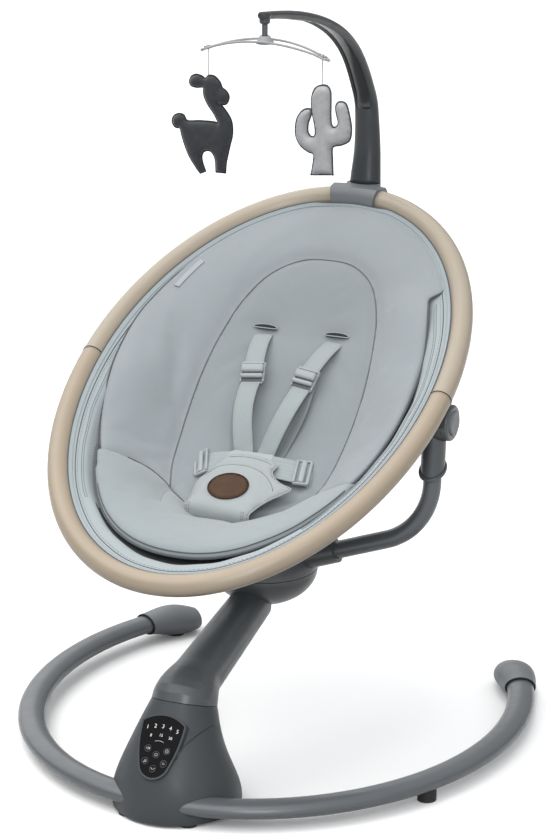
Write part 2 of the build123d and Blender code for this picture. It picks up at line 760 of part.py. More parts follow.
with BuildPart() as pivot_support_right:
    with BuildSketch(socket_plane):
        Circle(socket_r)
    extrude(amount=socket_len)
    split(bisect_by=rim_plane, keep=Keep.TOP)
    with BuildSketch(pivot_plane.offset(hub_in)):
        Circle(hub_disc_r + 0.4)
    extrude(amount=-30, mode=Mode.SUBTRACT)
    with BuildSketch(pivot_plane.offset(hub_out)):
        Circle(hub_disc_r + 0.4)
    extrude(amount=30, mode=Mode.SUBTRACT)
    with BuildSketch(pivot_plane.offset(hub_in)):
        Circle(hub_disc_r)
    extrude(amount=hub_out - hub_in)
    add(socket_rim.part)
    with BuildSketch(pivot_plane.offset(hub_in)):
        Circle(pin_r)
    extrude(amount=hub_out - hub_in, mode=Mode.SUBTRACT)
    add(support_solid.part, mode=Mode.SUBTRACT)
pivot_support_right.part.label = "pivot_support_right"
export_step(pivot_support_right.part, "parts/pivot_support_right.step")

socket_plane_left = Plane(origin=support_plane.from_local_coords((-sup_x, rim_at - 16, 0)),
                          x_dir=(1, 0, 0), z_dir=(0, -sind(lean), cosd(lean)))
with BuildPart() as socket_rim_left:
    with BuildSketch(socket_plane_left):
        Circle(rim_r)
    extrude(amount=40)
    split(bisect_by=rim_plane, keep=Keep.TOP)
    split(bisect_by=rim_plane.offset(rim_h), keep=Keep.BOTTOM)
    fillet(socket_rim_left.edges(), radius=1.4)

with BuildPart() as pivot_support_left:
    with BuildSketch(socket_plane_left):
        Circle(socket_r)
    extrude(amount=socket_len)
    split(bisect_by=rim_plane, keep=Keep.TOP)
    with BuildSketch(pivot_plane.offset(-hub_in)):
        Circle(hub_disc_r + 0.4)
    extrude(amount=30, mode=Mode.SUBTRACT)
    with BuildSketch(pivot_plane.offset(-hub_out)):
        Circle(hub_disc_r + 0.4)
    extrude(amount=-30, mode=Mode.SUBTRACT)
    with BuildSketch(pivot_plane.offset(-hub_out)):
        Circle(hub_disc_r)
    extrude(amount=hub_out - hub_in)
    add(socket_rim_left.part)
    with BuildSketch(pivot_plane.offset(-hub_out)):
        Circle(pin_r)
    extrude(amount=hub_out - hub_in, mode=Mode.SUBTRACT)
    add(support_solid.part, mode=Mode.SUBTRACT)
pivot_support_left.part.label = "pivot_support_left"
export_step(pivot_support_left.part, "parts/pivot_support_left.step")

with BuildPart() as recline_button_right:
    with BuildSketch(pivot_plane.offset(button_in)):
        Circle(button_r)
    extrude(amount=button_out - button_in)
    fillet(recline_button_right.faces().sort_by(Axis.X)[-1].edges(), radius=2.6)
recline_button_right.part.label = "recline_button_right"
export_step(recline_button_right.part, "parts/recline_button_right.step")

with BuildPart() as recline_button_left:
    add(mirror(recline_button_right.part, about=Plane.YZ))
recline_button_left.part.label = "recline_button_left"
export_step(recline_button_left.part, "parts/recline_button_left.step")

with BuildPart() as pivot_pins:
    with BuildSketch(pivot_plane.offset(head_in)):
        Circle(hub_disc_r)
    extrude(amount=head_out - head_in)
    fillet(pivot_pins.faces().sort_by(Axis.X)[-1].edges(), radius=3.5)
    with BuildSketch(pivot_plane.offset(head_floor)):
        Circle(button_r + 0.4)
    extrude(amount=20, mode=Mode.SUBTRACT)
    with BuildSketch(pivot_plane.offset(head_in)):
        Circle(pin_r)
    extrude(amount=hub_in - head_in)
    mirror(about=Plane.YZ)
pivot_pins.part.label = "pivot_pins"
export_step(pivot_pins.part, "parts/pivot_pins.step")

lug_plane = Plane(origin=seat_point(0, pivot_v, 0), x_dir=(0, cosd(seat_tilt), sind(seat_tilt)), z_dir=(1, 0, 0))
with BuildPart() as pivot_lugs:
    with BuildSketch(pivot_plane.offset(lug_in)):
        Circle(hub_disc_r)
    extrude(amount=lug_out - lug_in)
    with BuildSketch(lug_plane.offset(lug_in)):
        with Locations((0, -19)):
            Rectangle(28, 22)
    extrude(amount=lug_out - lug_in)
    with BuildSketch(Plane(origin=seat_point(ring_a, -40, 0), x_dir=(1, 0, 0),
                           z_dir=(0, cosd(seat_tilt), sind(seat_tilt)))):
        Circle(ring_r + 0.05)
    extrude(amount=80, mode=Mode.SUBTRACT)
    with BuildSketch(pivot_plane.offset(lug_in)):
        Circle(pin_r + run_gap)
    extrude(amount=lug_out - lug_in, mode=Mode.SUBTRACT)
    mirror(about=Plane.YZ)
pivot_lugs.part.label = "pivot_lugs"
export_step(pivot_lugs.part, "parts/pivot_lugs.step")

# ---------------------------------------------------------------- seat ring
ring_section_right = Plane(origin=seat_point(ring_a, 0, 0), x_dir=(1, 0, 0),
                           z_dir=(0, cosd(seat_tilt), sind(seat_tilt)))
with BuildPart() as seat_ring_upper:
    with BuildLine(seat_plane):
        EllipticalCenterArc((0, 0), ring_a, ring_head, start_angle=ring_seam, arc_size=(180 - ring_seam) - (ring_seam))
    with BuildSketch(Plane(origin=seat_point(ring_a * cosd(ring_seam), ring_head * sind(ring_seam), 0),
                           x_dir=(1, 0, 0), z_dir=(0, cosd(seat_tilt), sind(seat_tilt)))):
        Circle(ring_r)
        Circle(ring_r - ring_wall, mode=Mode.SUBTRACT)
    sweep()
seat_ring_upper.part.label = "seat_ring_upper"
export_step(seat_ring_upper.part, "parts/seat_ring_upper.step")

with BuildPart() as seat_ring_lower:
    with BuildLine(seat_plane):
        EllipticalCenterArc((0, 0), ring_a, ring_foot, start_angle=180 + ring_seam, arc_size=(360 - ring_seam) - (180 + ring_seam))
    with BuildSketch(Plane(origin=seat_point(-ring_a * cosd(ring_seam), -ring_foot * sind(ring_seam), 0),
                           x_dir=(1, 0, 0), z_dir=(0, -cosd(seat_tilt), -sind(seat_tilt)))):
        Circle(ring_r)
        Circle(ring_r - ring_wall, mode=Mode.SUBTRACT)
    sweep()
seat_ring_lower.part.label = "seat_ring_lower"
export_step(seat_ring_lower.part, "parts/seat_ring_lower.step")

with BuildPart() as ring_joiners:
    with BuildSketch(Plane(origin=seat_point(ring_a - 0.4, -24, 0), x_dir=(1, 0, 0),
                           z_dir=(0, cosd(seat_tilt), sind(seat_tilt)))):
        Circle(ring_r - ring_wall - 0.9)
    extrude(amount=48)
    with BuildSketch(Plane(origin=seat_point(-ring_a + 0.4, -24, 0), x_dir=(1, 0, 0),
                           z_dir=(0, cosd(seat_tilt), sind(seat_tilt)))):
        Circle(ring_r - ring_wall - 0.9)
    extrude(amount=48)
ring_joiners.part.label = "ring_joiners"
export_step(ring_joiners.part, "parts/ring_joiners.step")

# ---------------------------------------------------------------- bucket
with BuildPart() as seat_sling:
    for w, a, b, c in sling_sections:
        with BuildSketch(seat_plane.offset(w)):
            with Locations((0, c)):
                Ellipse(a, b)
    loft()
    for w, a, b, c in sling_sections:
        with BuildSketch(seat_plane.offset(w + (sling_t + 0.5 if w < -3 else sling_t))):
            with Locations((0, c)):
                Ellipse(a - sling_t, b - sling_t)
    loft(mode=Mode.SUBTRACT)
seat_sling.part.label = "seat_sling"
export_step(seat_sling.part, "parts/seat_sling.step")

with BuildPart() as seat_insert:
    for w, a, b, c in sling_sections:
        with BuildSketch(seat_plane.offset(w + sling_t + 0.5 + insert_gap)):
            with Locations((0, c)):
                Ellipse(a - sling_t - insert_gap - 1.2, b - sling_t - insert_gap - 1.2)
    loft()
    for w, a, b, c in insert_cut:
        with BuildSketch(seat_plane.offset(w + (1.0 if w > 0 else 0.0))):
            with Locations((0, c)):
                Ellipse(a, b)
    loft(mode=Mode.SUBTRACT)
seat_insert.part.label = "seat_insert"
export_step(seat_insert.part, "parts/seat_insert.step")

# ---------------------------------------------------------------- harness
strap_top = (48.3, 102.0, -33.5)
strap_low = (15.0, -61.0, -65.0)


def strap_frame(p, q):
    a = Vector(*seat_point(*p))
    b = Vector(*seat_point(*q))
    d = b - a
    n = Vector(0, -sind(seat_tilt), cosd(seat_tilt))
    side = d.cross(n).normalized()
    up = side.cross(d).normalized()
    return Plane(origin=a, x_dir=side, z_dir=d.normalized()), d.length, up


strap_plane, strap_len, strap_up = strap_frame(strap_top, strap_low)
with BuildPart() as shoulder_straps:
    with BuildSketch(strap_plane):
        Rectangle(web_w, web_t)
    extrude(amount=strap_len)
    mirror(about=Plane.YZ)
shoulder_straps.part.label = "shoulder_straps"
export_step(shoulder_straps.part, "parts/shoulder_straps.step")

with BuildPart() as shoulder_adjusters:
    with BuildSketch(strap_plane.offset(strap_len * 0.33)):
        Rectangle(32, 6.5)
        Rectangle(web_w + 0.8, web_t + 0.8, mode=Mode.SUBTRACT)
    extrude(amount=34)
    mirror(about=Plane.YZ)
shoulder_adjusters.part.label = "shoulder_adjusters"
export_step(shoulder_adjusters.part, "parts/shoulder_adjusters.step")

waist_plane, waist_len, waist_up = strap_frame((104.0, -80.0, -60.0), (33.0, -84.0, -68.0))
with BuildPart() as waist_straps:
    with BuildSketch(waist_plane):
        Rectangle(web_w, web_t)
    extrude(amount=waist_len)
    mirror(about=Plane.YZ)
waist_straps.part.label = "waist_straps"
export_step(waist_straps.part, "parts/waist_straps.step")

with BuildPart() as waist_adjusters:
    with BuildSketch(waist_plane.offset(waist_len * 0.42)):
        Rectangle(32, 6.5)
        Rectangle(web_w + 0.8, web_t + 0.8, mode=Mode.SUBTRACT)
    extrude(amount=24)
    mirror(about=Plane.YZ)
waist_adjusters.part.label = "waist_adjusters"
export_step(waist_adjusters.part, "parts/waist_adjusters.step")

with BuildPart() as harness_buckle:
    with BuildSketch(seat_plane.offset(-79.5)):
        with Locations((0, -88)):
            RectangleRounded(62, 46, 9)
    extrude(amount=13)
harness_buckle.part.label = "harness_buckle"
export_step(harness_buckle.part, "parts/harness_buckle.step")

with BuildPart() as crotch_strap:
    with BuildSketch(seat_plane.offset(-88)):
        with Locations((0, -105)):
            Rectangle(30, 2.4)
    extrude(amount=8)
crotch_strap.part.label = "crotch_strap"
export_step(crotch_strap.part, "parts/crotch_strap.step")

pad_plane = Plane(origin=seat_point(0, -138, -53.5), x_dir=(1, 0, 0),
                  z_dir=(0, -sind(seat_tilt - pad_tilt), cosd(seat_tilt - pad_tilt)))
with BuildPart() as crotch_pad:
    with BuildSketch(pad_plane):
        with BuildLine():
            ThreePointArc((-33, 56), (0, 66), (33, 56))
            ThreePointArc((33, 56), (45, 36), (68, 22))
            ThreePointArc((68, 22), (50, 2), (43, -24))
            Line((43, -24), (42, -36))
            ThreePointArc((42, -36), (0, -41), (-42, -36))
            Line((-42, -36), (-43, -24))
            ThreePointArc((-43, -24), (-50, 2), (-68, 22))
            ThreePointArc((-68, 22), (-45, 36), (-33, 56))
        make_face()
        fillet(vertices(), radius=5)
    extrude(amount=-6)
crotch_pad.part.label = "crotch_pad"
export_step(crotch_pad.part, "parts/crotch_pad.step")

with BuildPart() as pad_badge:
    with BuildSketch(pad_plane):
        with Locations((0, -2)):
            Ellipse(25, 23)
    extrude(amount=2.2)
pad_badge.part.label = "pad_badge"
export_step(pad_badge.part, "parts/pad_badge.step")

# ---------------------------------------------------------------- toy bar
with BuildPart() as ring_core:
    with BuildLine(seat_plane):
        EllipticalCenterArc((0, 0), ring_a, ring_head, start_angle=70, arc_size=(110) - (70))
    with BuildSketch(Plane(origin=seat_point(ring_a * cosd(70), ring_head * sind(70), 0),
                           x_dir=(0, -sind(seat_tilt), cosd(seat_tilt)),
                           z_dir=Vector(*seat_point(-ring_a * sind(70), ring_head * cosd(70), 0)) - Vector(*seat_point(0, 0, 0)))):
        Circle(ring_r)
    sweep()

with BuildPart() as toy_clamp:
    with BuildLine(seat_plane):
        EllipticalCenterArc((0, 0), ring_a, ring_head, start_angle=90 - clamp_u, arc_size=(90 + clamp_u) - (90 - clamp_u))
    with BuildSketch(Plane(origin=seat_point(ring_a * cosd(90 - clamp_u), ring_head * sind(90 - clamp_u), 0),
                           x_dir=(0, -sind(seat_tilt), cosd(seat_tilt)),
                           z_dir=Vector(*seat_point(-ring_a * sind(90 - clamp_u), ring_head * cosd(90 - clamp_u), 0)) - Vector(*seat_point(0, 0, 0)))):
        Circle(clamp_r)
    sweep()
    with BuildSketch(Plane.XY.offset(612)):
        with Locations((0, 302)):
            Ellipse(22.5, 16.5)
    extrude(amount=21)
    add(ring_core.part, mode=Mode.SUBTRACT)
    with BuildSketch(Plane.XY.offset(633)):
        with Locations((0, 300)):
            Rectangle(120, 120)
    extrude(amount=20, mode=Mode.SUBTRACT)
toy_clamp.part.label = "toy_clamp"
export_step(toy_clamp.part, "parts/toy_clamp.step")

with BuildPart() as toy_arm:
    for y, z, up, wd, th in arm_path:
        with BuildSketch(arm_section(y, z, up)):
            Ellipse(wd / 2, th / 2)
    loft()
    with BuildSketch(Plane.XY.offset(633)):
        with Locations((0, 300)):
            Rectangle(120, 120)
    extrude(amount=-30, mode=Mode.SUBTRACT)
toy_arm.part.label = "toy_arm"
export_step(toy_arm.part, "parts/toy_arm.step")

with BuildPart() as mobile_rod:
    with BuildSketch(Plane.XY.offset(bow_z - 6)):
        with Locations((0, mobile_y)):
            Circle(rod_r)
    extrude(amount=30)
    with BuildSketch(Plane.XY.offset(bow_z - 6)):
        with Locations((0, mobile_y)):
            Circle(5.6)
    extrude(amount=2.2)
    add(toy_arm.part, mode=Mode.SUBTRACT)
mobile_rod.part.label = "mobile_rod"
export_step(mobile_rod.part, "parts/mobile_rod.step")

pin_at = bow_z - bow_drop * (toy_x / bow_half) ** 2
with BuildPart() as mobile_bow:
    with BuildSketch(Plane(origin=(0, mobile_y - 15, 0), x_dir=(1, 0, 0), z_dir=(0, -1, 0))):
        with BuildLine():
            ThreePointArc((-bow_half, bow_z - bow_drop - 1.6), (0, bow_z - 1.6), (bow_half, bow_z - bow_drop - 1.6))
            Line((bow_half, bow_z - bow_drop - 1.6), (bow_half, bow_z - bow_drop - 3.6))
            ThreePointArc((bow_half, bow_z - bow_drop - 3.6), (0, bow_z - 3.6), (-bow_half, bow_z - bow_drop - 3.6))
            Line((-bow_half, bow_z - bow_drop - 3.6), (-bow_half, bow_z - bow_drop - 1.6))
        make_face()
    extrude(amount=-30)
    with BuildSketch(Plane.XY.offset(bow_z - 40)):
        with Locations((0, mobile_y)):
            with BuildLine():
                ThreePointArc((-bow_half, 0), (0, 13.5), (bow_half, 0))
                ThreePointArc((bow_half, 0), (0, -13.5), (-bow_half, 0))
            make_face()
    extrude(amount=80, mode=Mode.INTERSECT)
    with BuildSketch(Plane.XY.offset(bow_z - 40)):
        with Locations((0, mobile_y)):
            with BuildLine():
                ThreePointArc((16, 7.8), (42, 7.2), (66, 2.2))
                Line((66, 2.2), (66, -2.2))
                ThreePointArc((66, -2.2), (42, -7.2), (16, -7.8))
                Line((16, -7.8), (16, 7.8))
            make_face()
            with BuildLine():
                ThreePointArc((-16, 7.8), (-42, 7.2), (-66, 2.2))
                Line((-66, 2.2), (-66, -2.2))
                ThreePointArc((-66, -2.2), (-42, -7.2), (-16, -7.8))
                Line((-16, -7.8), (-16, 7.8))
            make_face()
    extrude(amount=80, mode=Mode.SUBTRACT)
    with BuildSketch(Plane.XY.offset(bow_z - 6)):
        with Locations((0, mobile_y)):
            Circle(11)
    with BuildSketch(Plane.XY.offset(bow_z + 7)):
        with Locations((0, mobile_y)):
            Circle(7)
    loft()
    with BuildSketch(Plane.XY.offset(bow_z - 20)):
        with Locations((0, mobile_y)):
            Circle(rod_r + run_gap)
    extrude(amount=40, mode=Mode.SUBTRACT)
    with BuildSketch(Plane.XY.offset(bow_z - 10)):
        with Locations((0, mobile_y)):
            Circle(6.0)
    extrude(amount=6.3, mode=Mode.SUBTRACT)
    with BuildSketch(Plane.XY.offset(bow_z - 40)):
        with Locations((toy_x, mobile_y), (-toy_x, mobile_y)):
            Rectangle(7, 30)
    extrude(amount=80, mode=Mode.SUBTRACT)
    with Locations((toy_x, mobile_y, pin_at - 1.8), (-toy_x, mobile_y, pin_at - 1.8)):
        Cylinder(1.3, 9, rotation=(0, 90, 0))
mobile_bow.part.label = "mobile_bow"
export_step(mobile_bow.part, "parts/mobile_bow.step")

eye_z = pin_at - 1.8
toy_top = 819.8
with BuildPart() as toy_eyelet_left:
    with Locations((-toy_x, mobile_y, eye_z)):
        Cylinder(2.8, 3, rotation=(0, 90, 0))
        Cylinder(1.3 + run_gap, 8, rotation=(0, 90, 0), mode=Mode.SUBTRACT)
toy_eyelet_left.part.label = "toy_eyelet_left"
export_step(toy_eyelet_left.part, "parts/toy_eyelet_left.step")

with BuildPart() as toy_eyelet_right:
    add(mirror(toy_eyelet_left.part, about=Plane.YZ))
toy_eyelet_right.part.label = "toy_eyelet_right"
export_step(toy_eyelet_right.part, "parts/toy_eyelet_right.step")

with BuildPart() as toy_string_left:
    with BuildSketch(Plane.XY.offset(toy_top)):
        with Locations((-toy_x, mobile_y)):
            Circle(string_r)
    extrude(amount=eye_z - 2.9 - toy_top)
toy_string_left.part.label = "toy_string_left"
export_step(toy_string_left.part, "parts/toy_string_left.step")

with BuildPart() as toy_string_right:
    with BuildSketch(Plane.XY.offset(toy_top)):
        with Locations((toy_x, mobile_y)):
            Circle(string_r)
    extrude(amount=eye_z - 2.9 - toy_top)
toy_string_right.part.label = "toy_string_right"
export_step(toy_string_right.part, "parts/toy_string_right.step")

toy_plane = Plane(origin=(0, mobile_y - toy_t / 2, 0), x_dir=(1, 0, 0), z_dir=(0, -1, 0))
with BuildPart() as toy_llama:
    with BuildSketch(toy_plane):
        with BuildLine():
            Polyline(*[(x + toy_shift_x, z + toy_shift_z - 1.2) for x, z in llama], close=True)
        make_face()
    extrude(amount=-toy_t)
toy_llama.part.label = "toy_llama"
export_step(toy_llama.part, "parts/toy_llama.step")

with BuildPart() as toy_cactus:
    with BuildSketch(toy_plane):
        with BuildLine():
            Polyline(*[(x + toy_shift_x, z + toy_shift_z - 0.4) for x, z in cactus], close=True)
        make_face()
    extrude(amount=-toy_t)
toy_cactus.part.label = "toy_cactus"
export_step(toy_cactus.part, "parts/toy_cactus.step")
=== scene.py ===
import bmesh
import bpy
import math
import numpy as np
from mathutils import Matrix, Vector, noise
from mathutils.geometry import delaunay_2d_cdt


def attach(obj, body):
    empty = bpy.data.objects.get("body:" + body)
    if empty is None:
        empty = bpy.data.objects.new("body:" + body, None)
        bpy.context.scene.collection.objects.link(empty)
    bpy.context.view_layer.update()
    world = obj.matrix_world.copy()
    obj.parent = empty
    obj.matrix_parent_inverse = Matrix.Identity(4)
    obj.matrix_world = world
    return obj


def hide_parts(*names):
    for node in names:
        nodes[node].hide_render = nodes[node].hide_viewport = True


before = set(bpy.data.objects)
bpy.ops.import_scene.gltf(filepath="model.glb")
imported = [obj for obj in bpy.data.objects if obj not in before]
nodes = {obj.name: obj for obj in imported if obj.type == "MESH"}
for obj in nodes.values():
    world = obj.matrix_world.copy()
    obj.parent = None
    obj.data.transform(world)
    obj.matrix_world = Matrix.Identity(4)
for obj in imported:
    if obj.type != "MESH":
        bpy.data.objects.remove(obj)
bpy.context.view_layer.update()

scene = bpy.context.scene
MM = 0.001
rng = np.random.default_rng(7)

# ------------------------------------------------------------------ seat frame
TILT = math.radians(28.8)
SIN, COS = math.sin(TILT), math.cos(TILT)
SEAT_Y, SEAT_Z = -7.2, 459.7
SEAT_UP = np.array([0, -SIN, COS])


def seat(x, v, w):
    """Seat coordinates in mm (across, towards the head, out of the seat) to the row frame in metres."""
    x, v, w = np.broadcast_arrays(np.asarray(x, float), np.asarray(v, float), np.asarray(w, float))
    return np.stack([x, SEAT_Y + v * COS - w * SIN, SEAT_Z + v * SIN + w * COS], -1) * MM


def smooth(t):
    t = np.clip(t, 0, 1)
    return t * t * (3 - 2 * t)


def pchip(xs, ys, x):
    """Monotone cubic through (xs, ys)."""
    xs, ys, x = np.asarray(xs, float), np.asarray(ys, float), np.asarray(x, float)
    h, d = np.diff(xs), np.diff(ys) / np.diff(xs)
    m = np.zeros(len(xs))
    m[0], m[-1] = d[0], d[-1]
    for i in range(1, len(xs) - 1):
        if d[i - 1] * d[i] > 0:
            w1, w2 = 2 * h[i] + h[i - 1], h[i] + 2 * h[i - 1]
            m[i] = (w1 + w2) / (w1 / d[i - 1] + w2 / d[i])
    k = np.clip(np.searchsorted(xs, x) - 1, 0, len(xs) - 2)
    t = np.clip((x - xs[k]) / h[k], 0, 1)
    a, b = (1 + 2 * t) * (1 - t) ** 2, t * (1 - t) ** 2
    c, e = t * t * (3 - 2 * t), t * t * (t - 1)
    return a * ys[k] + b * h[k] * m[k] + c * ys[k + 1] + e * h[k] * m[k + 1]


def spline(points, step, closed=False):
    """Catmull-Rom through the points, resampled at about that step."""
    p = np.asarray(points, float)
    n = len(p)
    out = []
    for i in range(n if closed else n - 1):
        a, b, c, d = (p[(i + k) % n] if closed else p[min(max(i + k, 0), n - 1)] for k in (-1, 0, 1, 2))
        for t in np.linspace(0, 1, 16, endpoint=False):
            out.append(0.5 * (2 * b + (c - a) * t + (2 * a - 5 * b + 4 * c - d) * t * t + (3 * b - a - 3 * c + d) * t ** 3))
    if not closed:
        out.append(p[-1])
    return resample(np.array(out), step, closed)


def resample(p, step, closed=False):
    if closed:
        p = np.vstack([p, p[:1]])
    s = np.concatenate([[0], np.cumsum(np.linalg.norm(np.diff(p, axis=0), axis=1))])
    n = max(2, int(round(s[-1] / step)))
    u = np.linspace(0, s[-1], n + 1)
    q = np.stack([np.interp(u, s, p[:, k]) for k in range(p.shape[1])], -1)
    return q[:-1] if closed else q


# ------------------------------------------------------------------ meshes
def mesh_piece(name, verts, faces, material, flat=False):
    me = bpy.data.meshes.new(name)
    me.from_pydata([tuple(map(float, v)) for v in verts], [], [tuple(map(int, f)) for f in faces])
    me.update()
    if not flat:
        me.polygons.foreach_set("use_smooth", [True] * len(me.polygons))
    ob = bpy.data.objects.new(name, me)
    scene.collection.objects.link(ob)
    me.materials.append(material)
    return ob


def outward(ob):
    bm = bmesh.new()
    bm.from_mesh(ob.data)
    bmesh.ops.recalc_face_normals(bm, faces=bm.faces)
    bm.to_mesh(ob.data)
    bm.free()
    return ob


def frames_along(p, closed=False, hint=None):
    """Tangents and two side directions along a polyline, carried without twist."""
    p = np.asarray(p, float)
    t = (np.roll(p, -1, 0) - np.roll(p, 1, 0)) if closed else np.gradient(p, axis=0)
    t /= np.linalg.norm(t, axis=1)[:, None] + 1e-15
    a = np.array(hint, float) if hint is not None else (np.array([0, 0, 1.0]) if abs(t[0][2]) < 0.9 else np.array([1.0, 0, 0]))
    side = []
    for k in range(len(p)):
        a = a - t[k] * (a @ t[k])
        a /= np.linalg.norm(a)
        side.append(a.copy())
    side = np.array(side)
    return t, side, np.cross(t, side)


def tube_data(p, r, sides=8, closed=False, offset=0):
    p = np.asarray(p, float)
    r = np.broadcast_to(np.asarray(r, float), (len(p),))
    _, a, b = frames_along(p, closed)
    ang = np.linspace(0, 2 * math.pi, sides, endpoint=False)
    ring = p[:, None] + (np.cos(ang)[None, :, None] * a[:, None] + np.sin(ang)[None, :, None] * b[:, None]) * r[:, None, None]
    n = len(p)
    faces = []
    for i in range(n if closed else n - 1):
        j = (i + 1) % n
        for k in range(sides):
            m = (k + 1) % sides
            faces.append((offset + i * sides + k, offset + j * sides + k, offset + j * sides + m, offset + i * sides + m))
    if not closed:
        faces.append(tuple(offset + k for k in range(sides)))
        faces.append(tuple(offset + (n - 1) * sides + k for k in reversed(range(sides))))
    return ring.reshape(-1, 3), faces


def tubes(name, lines, r, material, sides=8, closed=False):
    vs, fs, n = [], [], 0
    for line in lines:
        v, f = tube_data(line, r, sides, closed, n)
        vs.append(v)
        fs += f
        n += len(v)
    return outward(mesh_piece(name, np.vstack(vs), fs, material))


def stitches(name, lines, material, length=3.2, gap=1.6, r=0.38, closed=False, lift=0.0, up=None):
    """A row of short thread stitches along each line."""
    out = []
    for line in lines:
        q = resample(np.asarray(line, float), 0.0008, closed)
        if closed:
            q = np.vstack([q, q[:1]])
        s = np.concatenate([[0], np.cumsum(np.linalg.norm(np.diff(q, axis=0), axis=1))])
        at = 0.0
        while at + length * MM < s[-1]:
            u = np.linspace(at, at + length * MM, 5)
            seg = np.stack([np.interp(u, s, q[:, k]) for k in range(3)], -1)
            if up is not None:
                seg = seg + np.asarray(up) * (lift + r * 0.8 * np.sin(np.linspace(0, math.pi, 5)))[:, None] * MM
            out.append(seg)
            at += (length + gap) * MM
    vs, fs, n = [], [], 0
    prof = np.array([0.35, 0.9, 1.0, 0.9, 0.35]) * r * MM
    for seg in out:
        v, f = tube_data(seg, prof, 6, False, n)
        vs.append(v)
        fs += f
        n += len(v)
    return outward(mesh_piece(name, np.vstack(vs), fs, material))


def grid_faces(nu, nv, wrap_u=False, offset=0):
    """Quads of a grid stored row by row, nu columns and nv rows."""
    f = []
    for j in range(nv - 1):
        for i in range(nu if wrap_u else nu - 1):
            k = (i + 1) % nu
            f.append((offset + j * nu + i, offset + j * nu + k, offset + (j + 1) * nu + k, offset + (j + 1) * nu + i))
    return f


def subdivide(ob, levels=1):
    m = ob.modifiers.new("subdivision", "SUBSURF")
    m.levels = m.render_levels = levels
    return ob


def apply_modifiers(ob):
    dg = bpy.context.evaluated_depsgraph_get()
    me = bpy.data.meshes.new_from_object(ob.evaluated_get(dg))
    old = ob.data
    ob.modifiers.clear()
    ob.data = me
    bpy.data.meshes.remove(old)
    return ob


def coords(ob):
    c = np.zeros(len(ob.data.vertices) * 3)
    ob.data.vertices.foreach_get("co", c)
    return c.reshape(-1, 3)


def set_coords(ob, c):
    ob.data.vertices.foreach_set("co", np.asarray(c, float).ravel())
    ob.data.update()


def wrinkle(p, scale, seed=0.0):
    return np.array([noise.noise(Vector((q[0] * scale + seed, q[1] * scale - seed, q[2] * scale + 2 * seed))) for q in p])


def swell(ob, pin, pressure, frames, cap, stiffness=12.0, bending=0.4):
    """Air pressure in a closed cloth piece, held where pin is 1; no point moves further than cap millimetres."""
    start = coords(ob)
    group = ob.vertex_groups.new(name="held")
    for i, x in enumerate(pin):
        if x > 0.01:
            group.add([i], float(x), "REPLACE")
    mod = ob.modifiers.new("cloth", "CLOTH")
    s = mod.settings
    s.quality = 4
    s.mass = 0.25
    s.tension_stiffness = s.compression_stiffness = stiffness
    s.shear_stiffness = stiffness * 0.4
    s.bending_stiffness = bending
    s.air_damping = 2.0
    s.use_pressure = True
    s.uniform_pressure_force = pressure
    s.vertex_group_mass = "held"
    s.effector_weights.gravity = 0
    mod.collision_settings.use_collision = False
    for k in range(1, frames + 1):
        scene.frame_set(k)
    dg = bpy.context.evaluated_depsgraph_get()
    ev = ob.evaluated_get(dg)
    c = np.zeros(len(start) * 3)
    ev.data.vertices.foreach_get("co", c)
    c = c.reshape(-1, 3)
    ob.modifiers.clear()
    ob.vertex_groups.clear()
    scene.frame_set(1)
    move = c - start
    if not np.isfinite(move).all():
        return ob
    size = np.linalg.norm(move, axis=1)
    limit = cap * MM
    move *= (limit * np.tanh(size / limit) / np.maximum(size, 1e-9))[:, None]
    set_coords(ob, start + move)
    return ob


def seg_distance(p, line, closed=False):
    """Distance of 2-D points from a polyline."""
    a = np.asarray(line, float)
    b = np.roll(a, -1, 0) if closed else a[1:]
    a = a if closed else a[:-1]
    best = np.full(len(p), 1e9)
    for s, e in zip(a, b):
        d = e - s
        t = np.clip(((p - s) @ d) / (d @ d + 1e-12), 0, 1)
        best = np.minimum(best, np.linalg.norm(p - (s + t[:, None] * d), axis=1))
    return best


def flat_mesh(outline, seams, step, margin=0.5):
    """Triangles inside a 2-D outline, with edges along the seams. Returns points, triangles, outline indices and seam indices."""
    outline = np.asarray(outline, float)
    lo, hi = outline.min(0), outline.max(0)
    pts = []
    row = 0
    y = lo[1]
    while y <= hi[1]:
        x = lo[0] + (step / 2 if row % 2 else 0)
        while x <= hi[0]:
            pts.append((x, y))
            x += step
        y += step * 0.866
        row += 1
    pts = np.array(pts)
    inside = np.zeros(len(pts), bool)
    j = len(outline) - 1
    for i in range(len(outline)):
        a, b = outline[i], outline[j]
        cross = ((a[1] > pts[:, 1]) != (b[1] > pts[:, 1])) & (pts[:, 0] < (b[0] - a[0]) * (pts[:, 1] - a[1]) / (b[1] - a[1] + 1e-15) + a[0])
        inside ^= cross
        j = i
    pts = pts[inside]
    pts = pts[seg_distance(pts, outline, True) > margin * step]
    for line in seams:
        pts = pts[seg_distance(pts, line) > margin * step]
    allp = [outline] + [np.asarray(s, float) for s in seams] + [pts]
    edges, start = [], 0
    n = len(outline)
    edges += [(i, (i + 1) % n) for i in range(n)]
    start = n
    marks = []
    for s in seams:
        marks.append((start, len(s)))
        edges += [(start + i, start + i + 1) for i in range(len(s) - 1)]
        start += len(s)
    co = [Vector((float(a), float(b))) for a, b in np.vstack(allp)]
    v, _, f, ov, _, _ = delaunay_2d_cdt(co, edges, [], 1, 1e-5)
    where = {}
    for k, src in enumerate(ov):
        for i in src:
            where[i] = k
    rim = [where[i] for i in range(n)]
    lines = [[where[i] for i in range(a, a + c)] for a, c in marks]
    return np.array([tuple(q) for q in v]), [tuple(t) for t in f], rim, lines


